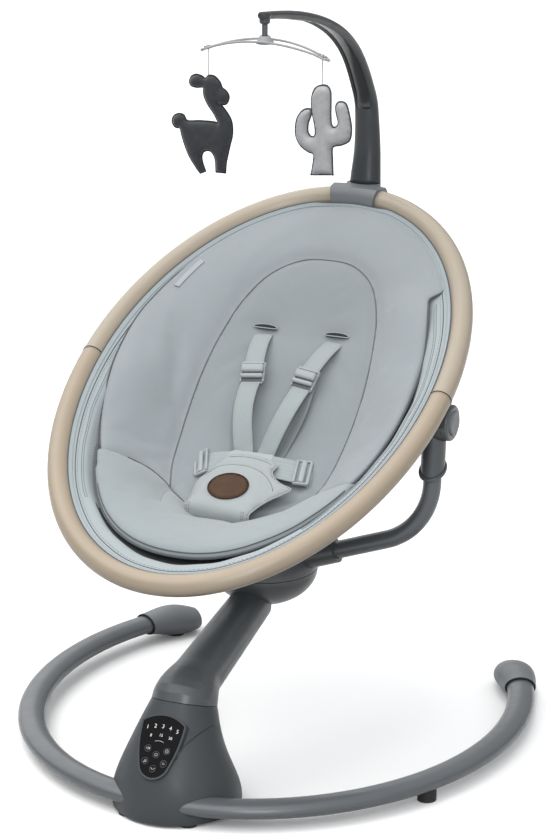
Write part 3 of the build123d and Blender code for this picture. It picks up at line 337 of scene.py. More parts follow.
def two_sided(name, pts, tris, rim, place, top, bottom, material):
    """Closed pad from one flat mesh: a top and a bottom surface that share the rim. place(points, height) gives metres."""
    n = len(pts)
    on_rim = np.zeros(n, bool)
    on_rim[rim] = True
    low = np.arange(n)
    free = np.where(~on_rim)[0]
    low[free] = n + np.arange(len(free))
    upper = place(pts, top)
    lower = place(pts[free], bottom[free])
    faces = [tuple(t) for t in tris] + [tuple(low[i] for i in reversed(t)) for t in tris]
    ob = mesh_piece(name, np.vstack([upper, lower]), faces, material)
    outward(ob)
    return ob, n


# ------------------------------------------------------------------ materials
def tree(name):
    m = bpy.data.materials.new(name)
    m.use_nodes = True
    return m, m.node_tree, m.node_tree.nodes["Principled BSDF"]


def add(nt, kind, **sockets):
    n = nt.nodes.new(kind)
    for k, v in sockets.items():
        if k in n.inputs:
            n.inputs[k].default_value = v
        else:
            setattr(n, k, v)
    return n


def noise_tex(nt, vec, scale, detail=3.0, rough=0.55):
    n = nt.nodes.new("ShaderNodeTexNoise")
    n.inputs["Scale"].default_value = scale
    n.inputs["Detail"].default_value = detail
    n.inputs["Roughness"].default_value = rough
    nt.links.new(vec, n.inputs["Vector"])
    return n


def spread(nt, fac, low, high, a=0.3, b=0.7):
    r = nt.nodes.new("ShaderNodeMapRange")
    r.inputs["From Min"].default_value, r.inputs["From Max"].default_value = a, b
    r.inputs["To Min"].default_value, r.inputs["To Max"].default_value = low, high
    nt.links.new(fac, r.inputs["Value"])
    return r.outputs["Result"]


def ramp(nt, fac, stops):
    r = nt.nodes.new("ShaderNodeValToRGB")
    e = r.color_ramp.elements
    while len(e) < len(stops):
        e.new(0.5)
    for k, (p, c) in enumerate(stops):
        e[k].position = p
        e[k].color = (*c, 1)
    nt.links.new(fac, r.inputs["Fac"])
    return r.outputs["Color"]


def shade(c, k):
    return tuple(min(1.0, x * k) for x in c)


def moulded(name, colour, rough=0.42, grain=1400.0, bump=0.10, vary=0.06, coat=0.0, metallic=0.0, specular=0.5):
    """Moulded or painted surface: fine spark grain, slow colour drift and a slightly uneven gloss."""
    m, nt, b = tree(name)
    co = add(nt, "ShaderNodeTexCoord").outputs["Object"]
    slow = noise_tex(nt, co, 9.0, 4.0)
    nt.links.new(ramp(nt, slow.outputs["Fac"], [(0.3, shade(colour, 1 - vary)), (0.7, shade(colour, 1 + vary))]), b.inputs["Base Color"])
    fine = noise_tex(nt, co, grain, 2.0)
    mid = noise_tex(nt, co, 55.0, 3.0)
    nt.links.new(spread(nt, mid.outputs["Fac"], rough - 0.05, rough + 0.06), b.inputs["Roughness"])
    bp = add(nt, "ShaderNodeBump", Strength=bump, Distance=0.0003)
    nt.links.new(fine.outputs["Fac"], bp.inputs["Height"])
    nt.links.new(bp.outputs["Normal"], b.inputs["Normal"])
    b.inputs["Metallic"].default_value = metallic
    b.inputs["Coat Weight"].default_value = coat
    b.inputs["Coat Roughness"].default_value = 0.25
    b.inputs["Specular IOR Level"].default_value = specular
    return m


def woven(name, colour, pitch=1.1, bump=0.35, vary=0.05, sheen=0.25, angle=TILT, fuzz=0.5, rough=0.88):
    """Cloth: two crossing thread waves, fibre noise and a slow drift of colour."""
    m, nt, b = tree(name)
    co = add(nt, "ShaderNodeTexCoord").outputs["Object"]
    mp = nt.nodes.new("ShaderNodeMapping")
    mp.inputs["Rotation"].default_value = (-angle, 0, 0)
    nt.links.new(co, mp.inputs["Vector"])
    vec = mp.outputs["Vector"]
    waves = []
    for axis in ("X", "Y"):
        w = nt.nodes.new("ShaderNodeTexWave")
        w.wave_type, w.bands_direction, w.wave_profile = "BANDS", axis, "SIN"
        w.inputs["Scale"].default_value = 2 * math.pi / (20 * pitch * MM)
        w.inputs["Distortion"].default_value = 0.6
        w.inputs["Detail"].default_value = 1.0
        w.inputs["Detail Scale"].default_value = 0.4
        nt.links.new(vec, w.inputs["Vector"])
        waves.append(w.outputs["Fac"])
    mul = add(nt, "ShaderNodeMath", operation="MULTIPLY")
    nt.links.new(waves[0], mul.inputs[0])
    nt.links.new(waves[1], mul.inputs[1])
    fibre = noise_tex(nt, vec, 1500.0, 3.0, 0.7)
    height = add(nt, "ShaderNodeMath", operation="MULTIPLY_ADD")
    nt.links.new(fibre.outputs["Fac"], height.inputs[0])
    height.inputs[1].default_value = fuzz
    nt.links.new(mul.outputs[0], height.inputs[2])
    slow = noise_tex(nt, vec, 7.0, 4.0)
    both = add(nt, "ShaderNodeMath", operation="MULTIPLY_ADD")
    nt.links.new(height.outputs[0], both.inputs[0])
    both.inputs[1].default_value = 0.35
    nt.links.new(slow.outputs["Fac"], both.inputs[2])
    nt.links.new(ramp(nt, both.outputs[0], [(0.4, shade(colour, 1 - vary)), (0.85, shade(colour, 1 + vary))]), b.inputs["Base Color"])
    bp = add(nt, "ShaderNodeBump", Strength=bump, Distance=0.0005)
    nt.links.new(height.outputs[0], bp.inputs["Height"])
    nt.links.new(bp.outputs["Normal"], b.inputs["Normal"])
    b.inputs["Roughness"].default_value = rough
    b.inputs["Sheen Weight"].default_value = sheen
    b.inputs["Sheen Roughness"].default_value = 0.5
    b.inputs["Specular IOR Level"].default_value = 0.25
    return m


def felt(name, colour, vary=0.12):
    m, nt, b = tree(name)
    co = add(nt, "ShaderNodeTexCoord").outputs["Object"]
    hair = noise_tex(nt, co, 900.0, 5.0, 0.75)
    clump = noise_tex(nt, co, 120.0, 4.0, 0.65)
    mix = add(nt, "ShaderNodeMath", operation="MULTIPLY_ADD")
    nt.links.new(hair.outputs["Fac"], mix.inputs[0])
    mix.inputs[1].default_value = 0.6
    nt.links.new(clump.outputs["Fac"], mix.inputs[2])
    nt.links.new(ramp(nt, mix.outputs[0], [(0.55, shade(colour, 1 - vary)), (1.0, shade(colour, 1 + vary))]), b.inputs["Base Color"])
    bp = add(nt, "ShaderNodeBump", Strength=0.5, Distance=0.0006)
    nt.links.new(mix.outputs[0], bp.inputs["Height"])
    nt.links.new(bp.outputs["Normal"], b.inputs["Normal"])
    b.inputs["Roughness"].default_value = 0.92
    b.inputs["Sheen Weight"].default_value = 0.4
    b.inputs["Specular IOR Level"].default_value = 0.2
    return m


def leather(name, colour):
    m, nt, b = tree(name)
    co = add(nt, "ShaderNodeTexCoord").outputs["Object"]
    cells = nt.nodes.new("ShaderNodeTexVoronoi")
    cells.feature = "DISTANCE_TO_EDGE"
    cells.inputs["Scale"].default_value = 850.0
    nt.links.new(co, cells.inputs["Vector"])
    slow = noise_tex(nt, co, 70.0, 5.0, 0.65)
    nt.links.new(ramp(nt, slow.outputs["Fac"], [(0.3, shade(colour, 0.78)), (0.7, shade(colour, 1.2))]), b.inputs["Base Color"])
    nt.links.new(spread(nt, slow.outputs["Fac"], 0.42, 0.6), b.inputs["Roughness"])
    bp = add(nt, "ShaderNodeBump", Strength=0.35, Distance=0.0003)
    nt.links.new(cells.outputs["Distance"], bp.inputs["Height"])
    nt.links.new(bp.outputs["Normal"], b.inputs["Normal"])
    b.inputs["Specular IOR Level"].default_value = 0.12
    return m


def brushed(name, colour, rough=0.32, along=(1.0, 40.0, 40.0), metallic=1.0):
    m, nt, b = tree(name)
    co = add(nt, "ShaderNodeTexCoord").outputs["Object"]
    mp = nt.nodes.new("ShaderNodeMapping")
    mp.inputs["Scale"].default_value = along
    nt.links.new(co, mp.inputs["Vector"])
    line = noise_tex(nt, mp.outputs["Vector"], 60.0, 4.0)
    nt.links.new(ramp(nt, line.outputs["Fac"], [(0.3, shade(colour, 0.88)), (0.7, shade(colour, 1.08))]), b.inputs["Base Color"])
    nt.links.new(spread(nt, line.outputs["Fac"], rough - 0.06, rough + 0.1), b.inputs["Roughness"])
    b.inputs["Metallic"].default_value = metallic
    return m


SLATE = (0.068, 0.075, 0.081)
mat = {
    "slate": moulded("slate_plastic", SLATE, 0.36),
    "slate_housing": moulded("slate_housing", (0.051, 0.057, 0.061), 0.44, specular=0.26),
    "slate_tube": moulded("slate_paint", (0.088, 0.096, 0.104), 0.34, grain=900.0, bump=0.05, coat=0.15),
    "slate_arm": moulded("slate_bar", (0.038, 0.042, 0.046), 0.36, specular=0.28),
    "slate_channel": moulded("slate_bar_channel", (0.026, 0.028, 0.031), 0.22, bump=0.03),
    "grey": moulded("grey_plastic", (0.135, 0.145, 0.155), 0.44),
    "rubber": moulded("rubber_pad", (0.012, 0.012, 0.013), 0.75, grain=700.0, bump=0.3),
    "black": moulded("panel_gloss", (0.004, 0.004, 0.005), 0.30, bump=0.02, specular=0.07),
    "key": moulded("key_gloss", (0.006, 0.006, 0.007), 0.34, bump=0.03, specular=0.07),
    "steel": brushed("steel", (0.55, 0.55, 0.57)),
    "copper": brushed("copper_winding", (0.60, 0.27, 0.13), 0.35, along=(60.0, 60.0, 400.0)),
    "inner": moulded("inner_plastic", (0.016, 0.016, 0.018), 0.55),
    "board": moulded("circuit_board", (0.010, 0.065, 0.030), 0.35, grain=300.0),
    "ring": moulded("champagne_paint", (0.356, 0.304, 0.238), 0.36, grain=1100.0, bump=0.0, vary=0.03),
    # the same champagne paint made darker for the ring's foot half: painted shade
    "ring_low": moulded("champagne_paint_painted_shade", (0.334, 0.274, 0.203), 0.36, grain=1100.0, bump=0.0, vary=0.03),
    "sling": woven("sling_cloth", (0.335, 0.376, 0.386), pitch=1.5, bump=0.45),
    "sling_band": woven("sling_binding", (0.300, 0.345, 0.372), pitch=1.0, bump=0.5),
    # near-black copy of the sling cloth: painted shade for the gap under the bumper
    "sling_painted_shade": woven("sling_painted_shade", (0.050, 0.057, 0.061), pitch=1.2, bump=0.4, sheen=0.05),
    "insert": woven("insert_cloth", (0.236, 0.263, 0.277), pitch=0.9, bump=0.22, sheen=0.25),
    "insert_wing": woven("insert_wing_cloth", (0.274, 0.299, 0.316), pitch=0.9, bump=0.22, sheen=0.25),
    "seat_pad": woven("seat_pad_cloth", (0.272, 0.304, 0.314), pitch=0.9, bump=0.22, sheen=0.25),
    "pad": woven("crotch_cloth", (0.318, 0.345, 0.350), pitch=0.9, bump=0.3, sheen=0.25),
    "thread": woven("thread", (0.200, 0.232, 0.252), pitch=0.5, bump=0.4),
    "seam": woven("seam_piping", (0.080, 0.092, 0.102), pitch=0.6, bump=0.4),
    "quilt": woven("quilt_seam", (0.118, 0.132, 0.142), pitch=0.6, bump=0.4),
    "web": woven("webbing", (0.305, 0.338, 0.342), pitch=1.7, bump=0.6, sheen=0.15),
    # the same webbing made darker for the strap tails and the crotch strap: painted shade under the straps and the pad
    "web_painted_shade": woven("webbing_tail", (0.215, 0.240, 0.244), pitch=1.7, bump=0.6, sheen=0.1),
    "buckle": moulded("buckle_plastic", (0.300, 0.330, 0.340), 0.36),
    # near-black plates for the slits of the ladder locks: painted shade
    "buckle_painted_shade": moulded("buckle_painted_shade", (0.060, 0.066, 0.072), 0.42),
    "leather": leather("tan_leather", (0.066, 0.037, 0.022)),
    "leather_edge": leather("leather_edge", (0.034, 0.018, 0.012)),
    "bow": moulded("bow_plastic", (0.330, 0.336, 0.342), 0.36),
    "string": woven("string_twist", (0.40, 0.40, 0.41), pitch=0.4, bump=0.5, angle=0.0),
    "llama": felt("charcoal_felt", (0.034, 0.037, 0.042), 0.22),
    "llama_edge": felt("charcoal_edge", (0.022, 0.024, 0.027)),
    "cactus": felt("grey_felt", (0.390, 0.396, 0.408), 0.10),
    "cactus_edge": felt("grey_edge", (0.058, 0.062, 0.068)),
    "mark": moulded("white_print", (0.78, 0.80, 0.82), 0.5, bump=0.0, vary=0.02),
    "mark_dim": moulded("grey_print", (0.150, 0.156, 0.162), 0.5, bump=0.0, vary=0.02),
    # near-black cloth: a dark joint in the ring's seam gaps, painted shade in the strap slots and the foot-cap mouths
    "dark": woven("dark_joint_and_painted_shade", (0.020, 0.022, 0.024), pitch=1.2, bump=0.2, sheen=0.0),
    "label": woven("plain_tab", (0.345, 0.368, 0.398), pitch=0.6, bump=0.2),
}

cad_finish = {
    "slate_housing": ["base_housing"],
    "slate": ["arm_shell", "hub_lower_shell", "hub_upper_shell", "pivot_support_left", "pivot_support_right",
              "pivot_lugs", "pivot_pins", "base_bottom_cover", "mobile_rod", "toy_arm"],
    "slate_tube": ["base_tube_left", "base_tube_right", "support_tube"],
    "grey": ["foot_cap_left", "foot_cap_right", "toy_clamp", "recline_button_left", "recline_button_right"],
    "rubber": ["floor_pads", "housing_pads"],
    "black": ["control_panel"],
    "key": ["panel_key_volume", "panel_key_timer", "panel_key_power", "panel_key_music", "panel_key_speed", "panel_key_motion"],
    "steel": ["swing_shaft", "base_screws", "magnet_lever", "drive_magnet", "coil_core"],
    "copper": ["drive_coil"],
    "inner": ["tube_joiner", "ring_joiners", "hub_clamp", "shaft_bushes", "speaker", "dc_inlet"],
    "board": ["main_board"],
    "ring": ["seat_ring_upper"],
    "ring_low": ["seat_ring_lower"],
    "sling": ["seat_sling"],
    "insert": ["seat_insert"],
    "pad": ["crotch_pad"],
    "web": ["shoulder_straps", "waist_straps", "crotch_strap"],
    "buckle": ["shoulder_adjusters", "waist_adjusters", "harness_buckle"],
    "leather": ["pad_badge"],
    "bow": ["mobile_bow", "toy_eyelet_left", "toy_eyelet_right"],
    "string": ["toy_string_left", "toy_string_right"],
    "llama": ["toy_llama"],
    "cactus": ["toy_cactus"],
}
for key, names in cad_finish.items():
    for n in names:
        me = nodes[n].data
        me.materials.clear()
        me.materials.append(mat[key])

# ------------------------------------------------------------------ camera
AZ, EL = math.radians(24.48), math.radians(17.44)
back = Vector((math.sin(AZ) * math.cos(EL), -math.cos(AZ) * math.cos(EL), math.sin(EL)))
cam = bpy.data.objects.new("camera", bpy.data.cameras.new("camera"))
scene.collection.objects.link(cam)
cam.location = (1.4839, -3.2305, 1.5186)
cam.rotation_mode = "QUATERNION"
cam.rotation_quaternion = (-back).to_track_quat("-Z", "Y")
cam.data.sensor_width = 36.0
cam.data.lens = 131.6
cam.data.clip_end = 100.0
scene.camera = cam

# ------------------------------------------------------------------ toy strings
TOY_X, EYE_Z = 73.5, 853.42
for side, sx in (("left", -1), ("right", 1)):
    cu = bpy.data.curves.new(f"string_{side}", "CURVE")
    cu.dimensions = "3D"
    sp = cu.splines.new("NURBS")
    route = [(sx * TOY_X, 0.0, 850.5), (sx * TOY_X, 0.0, 840.0), (sx * TOY_X, 0.0, 830.0), (sx * TOY_X, 0.0, 819.9)]
    sp.points.add(len(route) - 1)
    for p, q in zip(sp.points, route):
        p.co = (q[0] * MM, q[1] * MM, q[2] * MM, 1)
    sp.order_u = 3
    sp.use_endpoint_u = True
    cu.bevel_depth = 0.0006
    cu.bevel_resolution = 4
    cu.materials.append(mat["string"])
    ob = bpy.data.objects.new(f"string_{side}", cu)
    scene.collection.objects.link(ob)
    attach(ob, "llama_pendant" if sx < 0 else "cactus_pendant")
    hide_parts(f"toy_string_{side}")

# ------------------------------------------------------------------ sling
SLING = np.array([  # step, depth, half width, head end, foot end, centre
    (0.0, 3.0, 218.2, 317.4, -330.6, 0.0),
    (0.35, -0.5, 213.0, 313.0, -326.0, -3.0),
    (0.8, -4.5, 204.5, 299.0, -316.0, -8.0),
    (1.2, -8.5, 197.0, 283.0, -305.5, -14.0),
    (1.6, -19.0, 192.5, 247.0, -297.0, -24.0),
    (2.6, -45.0, 183.0, 165.0, -255.0, -43.5),
    (3.6, -75.0, 158.0, 75.0, -215.0, -69.0),
    (4.6, -102.0, 112.0, -15.0, -176.0, -95.0),
    (5.3, -116.5, 60.0, -70.0, -145.0, -107.5),
    (5.75, -120.5, 22.0, -94.0, -121.0, -107.5),
    (6.0, -121.0, 0.5, -107.0, -108.0, -107.5),
])


def sling_at(theta, t):
    w, a, hd, ft, c = (pchip(SLING[:, 0], SLING[:, k], t) for k in (1, 2, 3, 4, 5))
    x = a * np.cos(theta)
    s = np.sin(theta)
    v = np.where(s > 0, c + (hd - c) * s, c + (c - ft) * s)
    v = v - 5.2 * smooth(1 - t / 0.8) * np.exp(-(x / 44.0) ** 6) * (s > 0)
    return x, v, w


NU, NT = 200, 56
th = np.linspace(0, 2 * math.pi, NU, endpoint=False)
tt = np.concatenate([np.linspace(0, 1.0, 14, endpoint=False), np.linspace(1.0, 6.0, NT - 14)])
tgrid, ugrid = np.repeat(tt, NU), np.tile(th, NT)
gv = sling_at(ugrid, tgrid)[1]


def sling_points(theta, t):
    """Points of the hung cloth with its slow pulls and folds."""
    x, v, w = sling_at(theta, t)
    q = seat(x, v, w)
    n = seat(x, v + (v + 107.5) * 0.01, w - 0.6) - q
    n[:, 0] += x * 0.01 * MM
    n /= np.linalg.norm(n, axis=1)[:, None] + 1e-12
    pull = wrinkle(q, 9.0, 3.1) * 1.6 + wrinkle(q, 26.0, 8.3) * 0.5
    radial = np.sin(theta * 23 + 2.2 * wrinkle(q, 6.0, 1.0)) * 0.5 * np.exp(-((t - 1.0) / 0.5) ** 2)
    return q + n * ((pull + radial) * smooth((t - 0.25) / 0.8) * smooth((5.9 - t) / 1.0))[:, None] * MM


p = sling_points(ugrid, tgrid)
sling = mesh_piece("sling_cloth", p, grid_faces(NU, NT, True) + [tuple(range((NT - 1) * NU, NT * NU))], mat["sling"])
outward(sling)
# the inner face of the cloth under the bumper's foot end takes the near-black copy: painted shade in the gap under the
# bumper
for key in ("sling", "sling", "sling_painted_shade"):
    sling.data.materials.append(mat[key])
for f in sling.data.polygons:
    k = f.vertices[0]
    f.material_index = 1 if k < len(tgrid) and tgrid[k] > 1.40 and gv[k] < -224.0 else 0
so = sling.modifiers.new("thickness", "SOLIDIFY")
so.thickness, so.offset = 0.0018, -1.0
so.material_offset = 2
apply_modifiers(sling)
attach(sling, "seat")
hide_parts("seat_sling")


def sling_line(t, a0, a1, n, lift=0.0):
    u = np.linspace(math.radians(a0), math.radians(a1), n)
    return sling_points(u, np.full(n, t)) + SEAT_UP * lift * MM


details = [
    # the dark line where the cloth meets the ring is painted contact shadow
    tubes("sling_rim_painted_shadow", [sling_line(0.05, 0, 360, 361, 1.5)[:-1]], 0.0009, mat["seam"], 6, True),
    tubes("sling_piping", [sling_line(0.36, 0, 360, 361, 1.7)[:-1]], 0.0013, mat["sling_band"], 8, True),
    tubes("sling_binding", [sling_line(0.60, 0, 360, 361, 1.9)[:-1]], 0.0007, mat["seam"], 6, True),
    stitches("sling_topstitch", [sling_line(0.74, 0, 360, 400, 2.1)[:-1]], mat["thread"], 3.4, 1.8, 0.4, True),
    tubes("sling_panel_seam", [sling_line(2.6, 0, 360, 361, -0.6)[:-1]], 0.0011, mat["seam"], 6, True),
    stitches("sling_panel_stitch", [sling_line(2.78, 0, 360, 400, -0.8)[:-1]], mat["thread"], 3.4, 1.8, 0.4, True),
]
for d in details:
    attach(d, "seat")

# flat-felled seam along both sides of the shelf
shelf_seam = tubes("sling_shelf_seams", [sling_line(t, a0, a1, 240, 2.1) for a0, a1 in ((150, 226), (-46, 34)) for t in (0.98, 1.10)], 0.0005, mat["thread"], 6)
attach(shelf_seam, "seat")

# ------------------------------------------------------------------ padded insert
BOWL = np.array([  # step, depth, half width, head end, foot end, centre
    (0.0, -92.0, 0.01, -107.4, -107.6, -107.5),
    (1.0, -90.0, 40.0, -82.5, -132.5, -107.5),
    (2.0, -78.0, 85.0, -36.0, -156.0, -96.0),
    (3.0, -56.0, 130.0, 44.0, -188.0, -72.0),
    (4.0, -30.0, 161.0, 131.0, -225.0, -47.0),
    (5.0, -10.0, 180.0, 208.0, -264.0, -28.0),
    (6.0, -1.0, 187.5, 258.0, -287.0, -15.0),
    (7.0, 1.5, 192.0, 292.0, -299.0, -6.0),
    (8.0, -1.0, 198.0, 312.0, -311.0, 0.0),
    (9.0, -9.0, 206.0, 330.0, -325.0, 0.0),
])


def bowl_depth(x, v):
    """Depth of the padded surface at seat points, by finding the level curve through each."""
    x, v = np.abs(np.asarray(x, float)), np.asarray(v, float)
    lo, hi = np.zeros_like(x), np.full_like(x, 9.0)
    for _ in range(34):
        t = (lo + hi) / 2
        a, hd, ft, c = (pchip(BOWL[:, 0], BOWL[:, k], t) for k in (2, 3, 4, 5))
        half = np.where(v > c, hd - c, c - ft)
        n = 2 + np.where(v > c, -0.16, 0.12) * smooth(t / 8)
        out = (x / a) ** n + (np.abs(v - c) / half) ** n > 1
        lo, hi = np.where(out, t, lo), np.where(out, hi, t)
    t = (lo + hi) / 2
    w = pchip(BOWL[:, 0], BOWL[:, 1], t)
    sidedness = np.clip(x / 200.0, 0, 1) ** 2
    return w - 14.0 * sidedness * smooth((t - 2.5) / 5.0)


def superellipse(a, hd, ft, nh, nf, count):
    u = np.linspace(0, 2 * math.pi, count, endpoint=False)
    c, s = np.cos(u), np.sin(u)
    n = np.where(s > 0, nh, nf)
    x = a * np.sign(c) * np.abs(c) ** (2 / n)
    v = np.where(s > 0, hd, -ft) * np.sign(s) * np.abs(s) ** (2 / n)
    return resample(np.stack([x, v], -1), 7.0, True)


def curve2(points, step):
    return spline(points, step)


arch = curve2([(-88, -130), (-101, -92), (-107, -40), (-109, 10), (-107, 55), (-101, 100), (-90, 146), (-69, 189), (-36, 216), (0, 222),
               (36, 216), (69, 189), (90, 146), (101, 100), (107, 55), (109, 10), (107, -40), (101, -92), (88, -130)], 6.0)
FRONT = [(-205, -136), (-170, -138), (-148, -124), (-118, -115), (-95, -122), (-74, -137), (-46, -152), (0, -160), (46, -152), (74, -137), (95, -122), (118, -115), (148, -124), (170, -138), (205, -136)]


def front_edge(x):
    return pchip([q[0] for q in FRONT], [q[1] for q in FRONT], x)


SLOTS = [(-48.3, 110.0), (48.3, 110.0)]


def insert_half(v, side=1):
    """Half width of the insert: close to the ring at the head, inside the bucket lower down."""
    low = (184.0 if side > 0 else 198.0) * np.sqrt(np.clip(1 - (v / np.where(v > 0, 310.0, 246.0)) ** 2, 0, 1))
    high = 209.0 * np.sqrt(np.clip(1 - (v / 314.0) ** 2, 0, 1))
    s = smooth((v - 160.0) / 22.0) if side > 0 else smooth((v + 40.0) / 140.0)
    return low * (1 - s) + high * s


vv = np.concatenate([-246 * np.cos(np.linspace(0, math.pi / 2, 160)), 314 * np.sin(np.linspace(0, math.pi / 2, 200))[1:]])
vv[-1] = 313.9
back_outline = resample(np.vstack([np.stack([insert_half(vv), vv], -1), np.stack([-insert_half(vv[::-1], -1), vv[::-1]], -1)]), 5.5, True)


def inset(line, d):
    t = np.roll(line, -1, 0) - np.roll(line, 1, 0)
    t /= np.linalg.norm(t, axis=1)[:, None]
    return (line + np.stack([-t[:, 1], t[:, 0]], -1) * d)[:-1]


bp_, bt_, brim, bseams = flat_mesh(back_outline, [arch, inset(back_outline, 2.4), inset(back_outline, 6.2)], 6.5)
d_rim = seg_distance(bp_, back_outline, True)
d_arch = seg_distance(bp_, arch)
d_slot = np.min([np.hypot((bp_[:, 0] - sx) / 1.6, bp_[:, 1] - sv) for sx, sv in SLOTS], 0)
under = smooth((front_edge(bp_[:, 0]) - bp_[:, 1] + 4) / 22)
target = bowl_depth(bp_[:, 0], bp_[:, 1]) - 15.0 * under
tuck = smooth((bp_[:, 1] + np.where(bp_[:, 0] > 0, -60.0, 110.0)) / np.where(bp_[:, 0] > 0, 90.0, 110.0)) * smooth(1 - d_rim / 70.0)
target = target * (1 - tuck) + 2.6 * tuck
thick = 19.0 - 5.0 * under - 12.0 * tuck
edge = np.sqrt(np.clip(1 - (1 - np.clip(d_rim / 15.0, 0, 1)) ** 2, 0, 1))
soft = 3.0 * (1 - np.exp(-(np.minimum(d_arch, d_rim * 0.8) / 26.0) ** 2)) - 5.6 * np.exp(-(d_arch / 7.5) ** 2) - 6.0 * np.exp(-(d_slot / 13.0) ** 2)
mid = target - thick / 2
top = mid + edge * (thick / 2 + soft)
low = mid - edge * thick / 2


def place_seat(q, h):
    return seat(q[:, 0], q[:, 1], h)


insert_back, nb = two_sided("insert_back", bp_, bt_, brim, place_seat, top, low, mat["insert"])
# the quilted panel inside the arch and the wings around it are two cuts of cloth
insert_back.data.materials.append(mat["insert_wing"])
arch_next = np.roll(arch, -1, 0)
for f in insert_back.data.polygons:
    ids = list(f.vertices)
    if max(ids) < nb:
        qx, qv = bp_[ids].mean(0)
        cross = (arch[:, 1] > qv) != (arch_next[:, 1] > qv)
        at = arch[:, 0] + (qv - arch[:, 1]) / np.where(cross, arch_next[:, 1] - arch[:, 1], 1.0) * (arch_next[:, 0] - arch[:, 0])
        f.material_index = 0 if np.count_nonzero(cross & (qx < at)) % 2 or (qv < arch[0, 1] and abs(qx) < 88.0) else 1
    else:
        f.material_index = 1
pin = np.ones(len(insert_back.data.vertices))
pin[:nb] = np.clip(np.maximum(np.exp(-(d_arch / 5.0) ** 2), np.exp(-(d_slot / 16.0) ** 2)), 0, 1)
pin[:nb] = np.where(d_rim < 1.0, 0.8, pin[:nb])
swell(insert_back, pin, 2.2, 16, 5.0)
c = coords(insert_back)
nrm = np.array([0, -SIN, COS])
ripple = wrinkle(c[:nb], 22.0, 5.5) * 0.9 + wrinkle(c[:nb], 60.0, 2.5) * 0.35
near = 0.35 + 0.9 * np.exp(-(d_arch / 24.0) ** 2) + 0.8 * np.exp(-(d_slot / 26.0) ** 2)
c[:nb] += nrm * (ripple * near * (d_arch > 0.5))[:, None] * MM
set_coords(insert_back, c)
arch_line = c[bseams[0]]
rim_line = c[brim]
subdivide(insert_back, 1)
apply_modifiers(insert_back)
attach(insert_back, "seat")

# front bumper of the insert, a thick crescent over the foot end
uo = np.linspace(math.radians(204.5), math.radians(335.5), 160)
outer = np.stack([188.0 * np.sign(np.cos(uo)) * np.abs(np.cos(uo)) ** (2 / 2.12), 290.0 * np.sign(np.sin(uo)) * np.abs(np.sin(uo)) ** (2 / 2.12)], -1)
x0, x1 = outer[0, 0], outer[-1, 0]
inner_x = np.linspace(x1, x0, 90)
blend_in = np.clip(1 - np.abs(inner_x) / abs(x0), 0, 1)
inner_v = front_edge(inner_x)
inner_v = inner_v + (outer[0, 1] - front_edge(x0)) * np.exp(-(blend_in / 0.05))
crescent = resample(np.vstack([outer[:-1], np.stack([inner_x, inner_v], -1)[:-1]]), 6.0, True)
un = np.linspace(math.radians(222), math.radians(330), 120)
foot_seam = resample(np.stack([185.0 * np.sign(np.cos(un)) * np.abs(np.cos(un)) ** (2 / 2.12), 286.8 * np.sign(np.sin(un)) * np.abs(np.sin(un)) ** (2 / 2.12)], -1), 5.0)
darts = [spline([(sx * 84.0, -141.0), (sx * 83.0, -152.0), (sx * 78.0, -166.0), (sx * 71.0, -182.0)], 4.0) for sx in (-1, 1)]
# a thin dark line just inside the bumper's inner edge: painted contact shadow where the bumper meets the insert
edge_shadow_path = resample(np.stack([inner_x, inner_v - 6.0], -1)[9:-9], 5.0)
cp_, ct_, crim, cseams = flat_mesh(crescent, [foot_seam, edge_shadow_path] + darts, 5.5)
d_foot = seg_distance(cp_, foot_seam)
d_dart = np.min([seg_distance(cp_, q) for q in darts], 0)
d_rim = seg_distance(cp_, crescent, True)
target = bowl_depth(cp_[:, 0], cp_[:, 1]) - 12.0 * np.exp(-(cp_[:, 0] / 50.0) ** 4) * smooth((cp_[:, 1] + 222.0) / 48.0)
edge = np.sqrt(np.clip(1 - (1 - np.clip(d_rim / 13.0, 0, 1)) ** 2, 0, 1))
thick = 22.0
lobe = np.exp(-((np.abs(cp_[:, 0]) - 118.0) / 34.0) ** 2) * smooth((cp_[:, 1] + 205.0) / 60.0)
soft = (5.5 + 5.5 * lobe) * (1 - np.exp(-(np.minimum(d_rim, d_foot * 1.3) / 24.0) ** 2)) - 2.4 * np.exp(-(d_foot / 3.5) ** 2) - 4.0 * np.exp(-(d_dart / 6.0) ** 2)
mid = target - thick / 2 + 1.0
top = mid + edge * (thick / 2 + soft)
low = mid - edge * (thick / 2 - 1.5)
insert_front, nf = two_sided("insert_bumper", cp_, ct_, crim, place_seat, top, low, mat["seat_pad"])
pin = np.ones(len(insert_front.data.vertices))
pin[:nf] = np.maximum(np.exp(-(d_foot / 4.0) ** 2), np.exp(-(d_dart / 5.0) ** 2))
pin[crim] = 0.9
swell(insert_front, pin, 2.4, 14, 5.0)
c = coords(insert_front)
c[:nf] += nrm * (wrinkle(c[:nf], 20.0, 4.5) * 0.8 + wrinkle(c[:nf], 55.0, 1.5) * 0.3)[:, None] * MM
set_coords(insert_front, c)
bumper_rim = c[crim]
foot_line = c[cseams[0]]
edge_shadow_line = c[cseams[1]]
dart_lines = [c[q] for q in cseams[2:]]
subdivide(insert_front, 1)
apply_modifiers(insert_front)
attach(insert_front, "seat")
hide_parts("seat_insert")

trim = [
    tubes("insert_arch_seam", [arch_line + nrm * 0.0007], 0.0010, mat["quilt"], 8),
    tubes("bumper_foot_seam", [foot_line + nrm * 0.0004], 0.0008, mat["seam"], 6),
    # painted contact shadow along the bumper's inner edge
    tubes("bumper_edge_painted_shadow", [edge_shadow_line + nrm * 0.0003], 0.0007, mat["seam"], 6),
    tubes("bumper_dart_seams", dart_lines, 0.0006, mat["thread"], 6),
    tubes("insert_rim_piping", [rim_line], 0.0013, mat["seam"], 8, True),
    tubes("bumper_rim_piping", [bumper_rim], 0.0014, mat["seam"], 8, True),
]
for d in trim:
    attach(d, "seat")

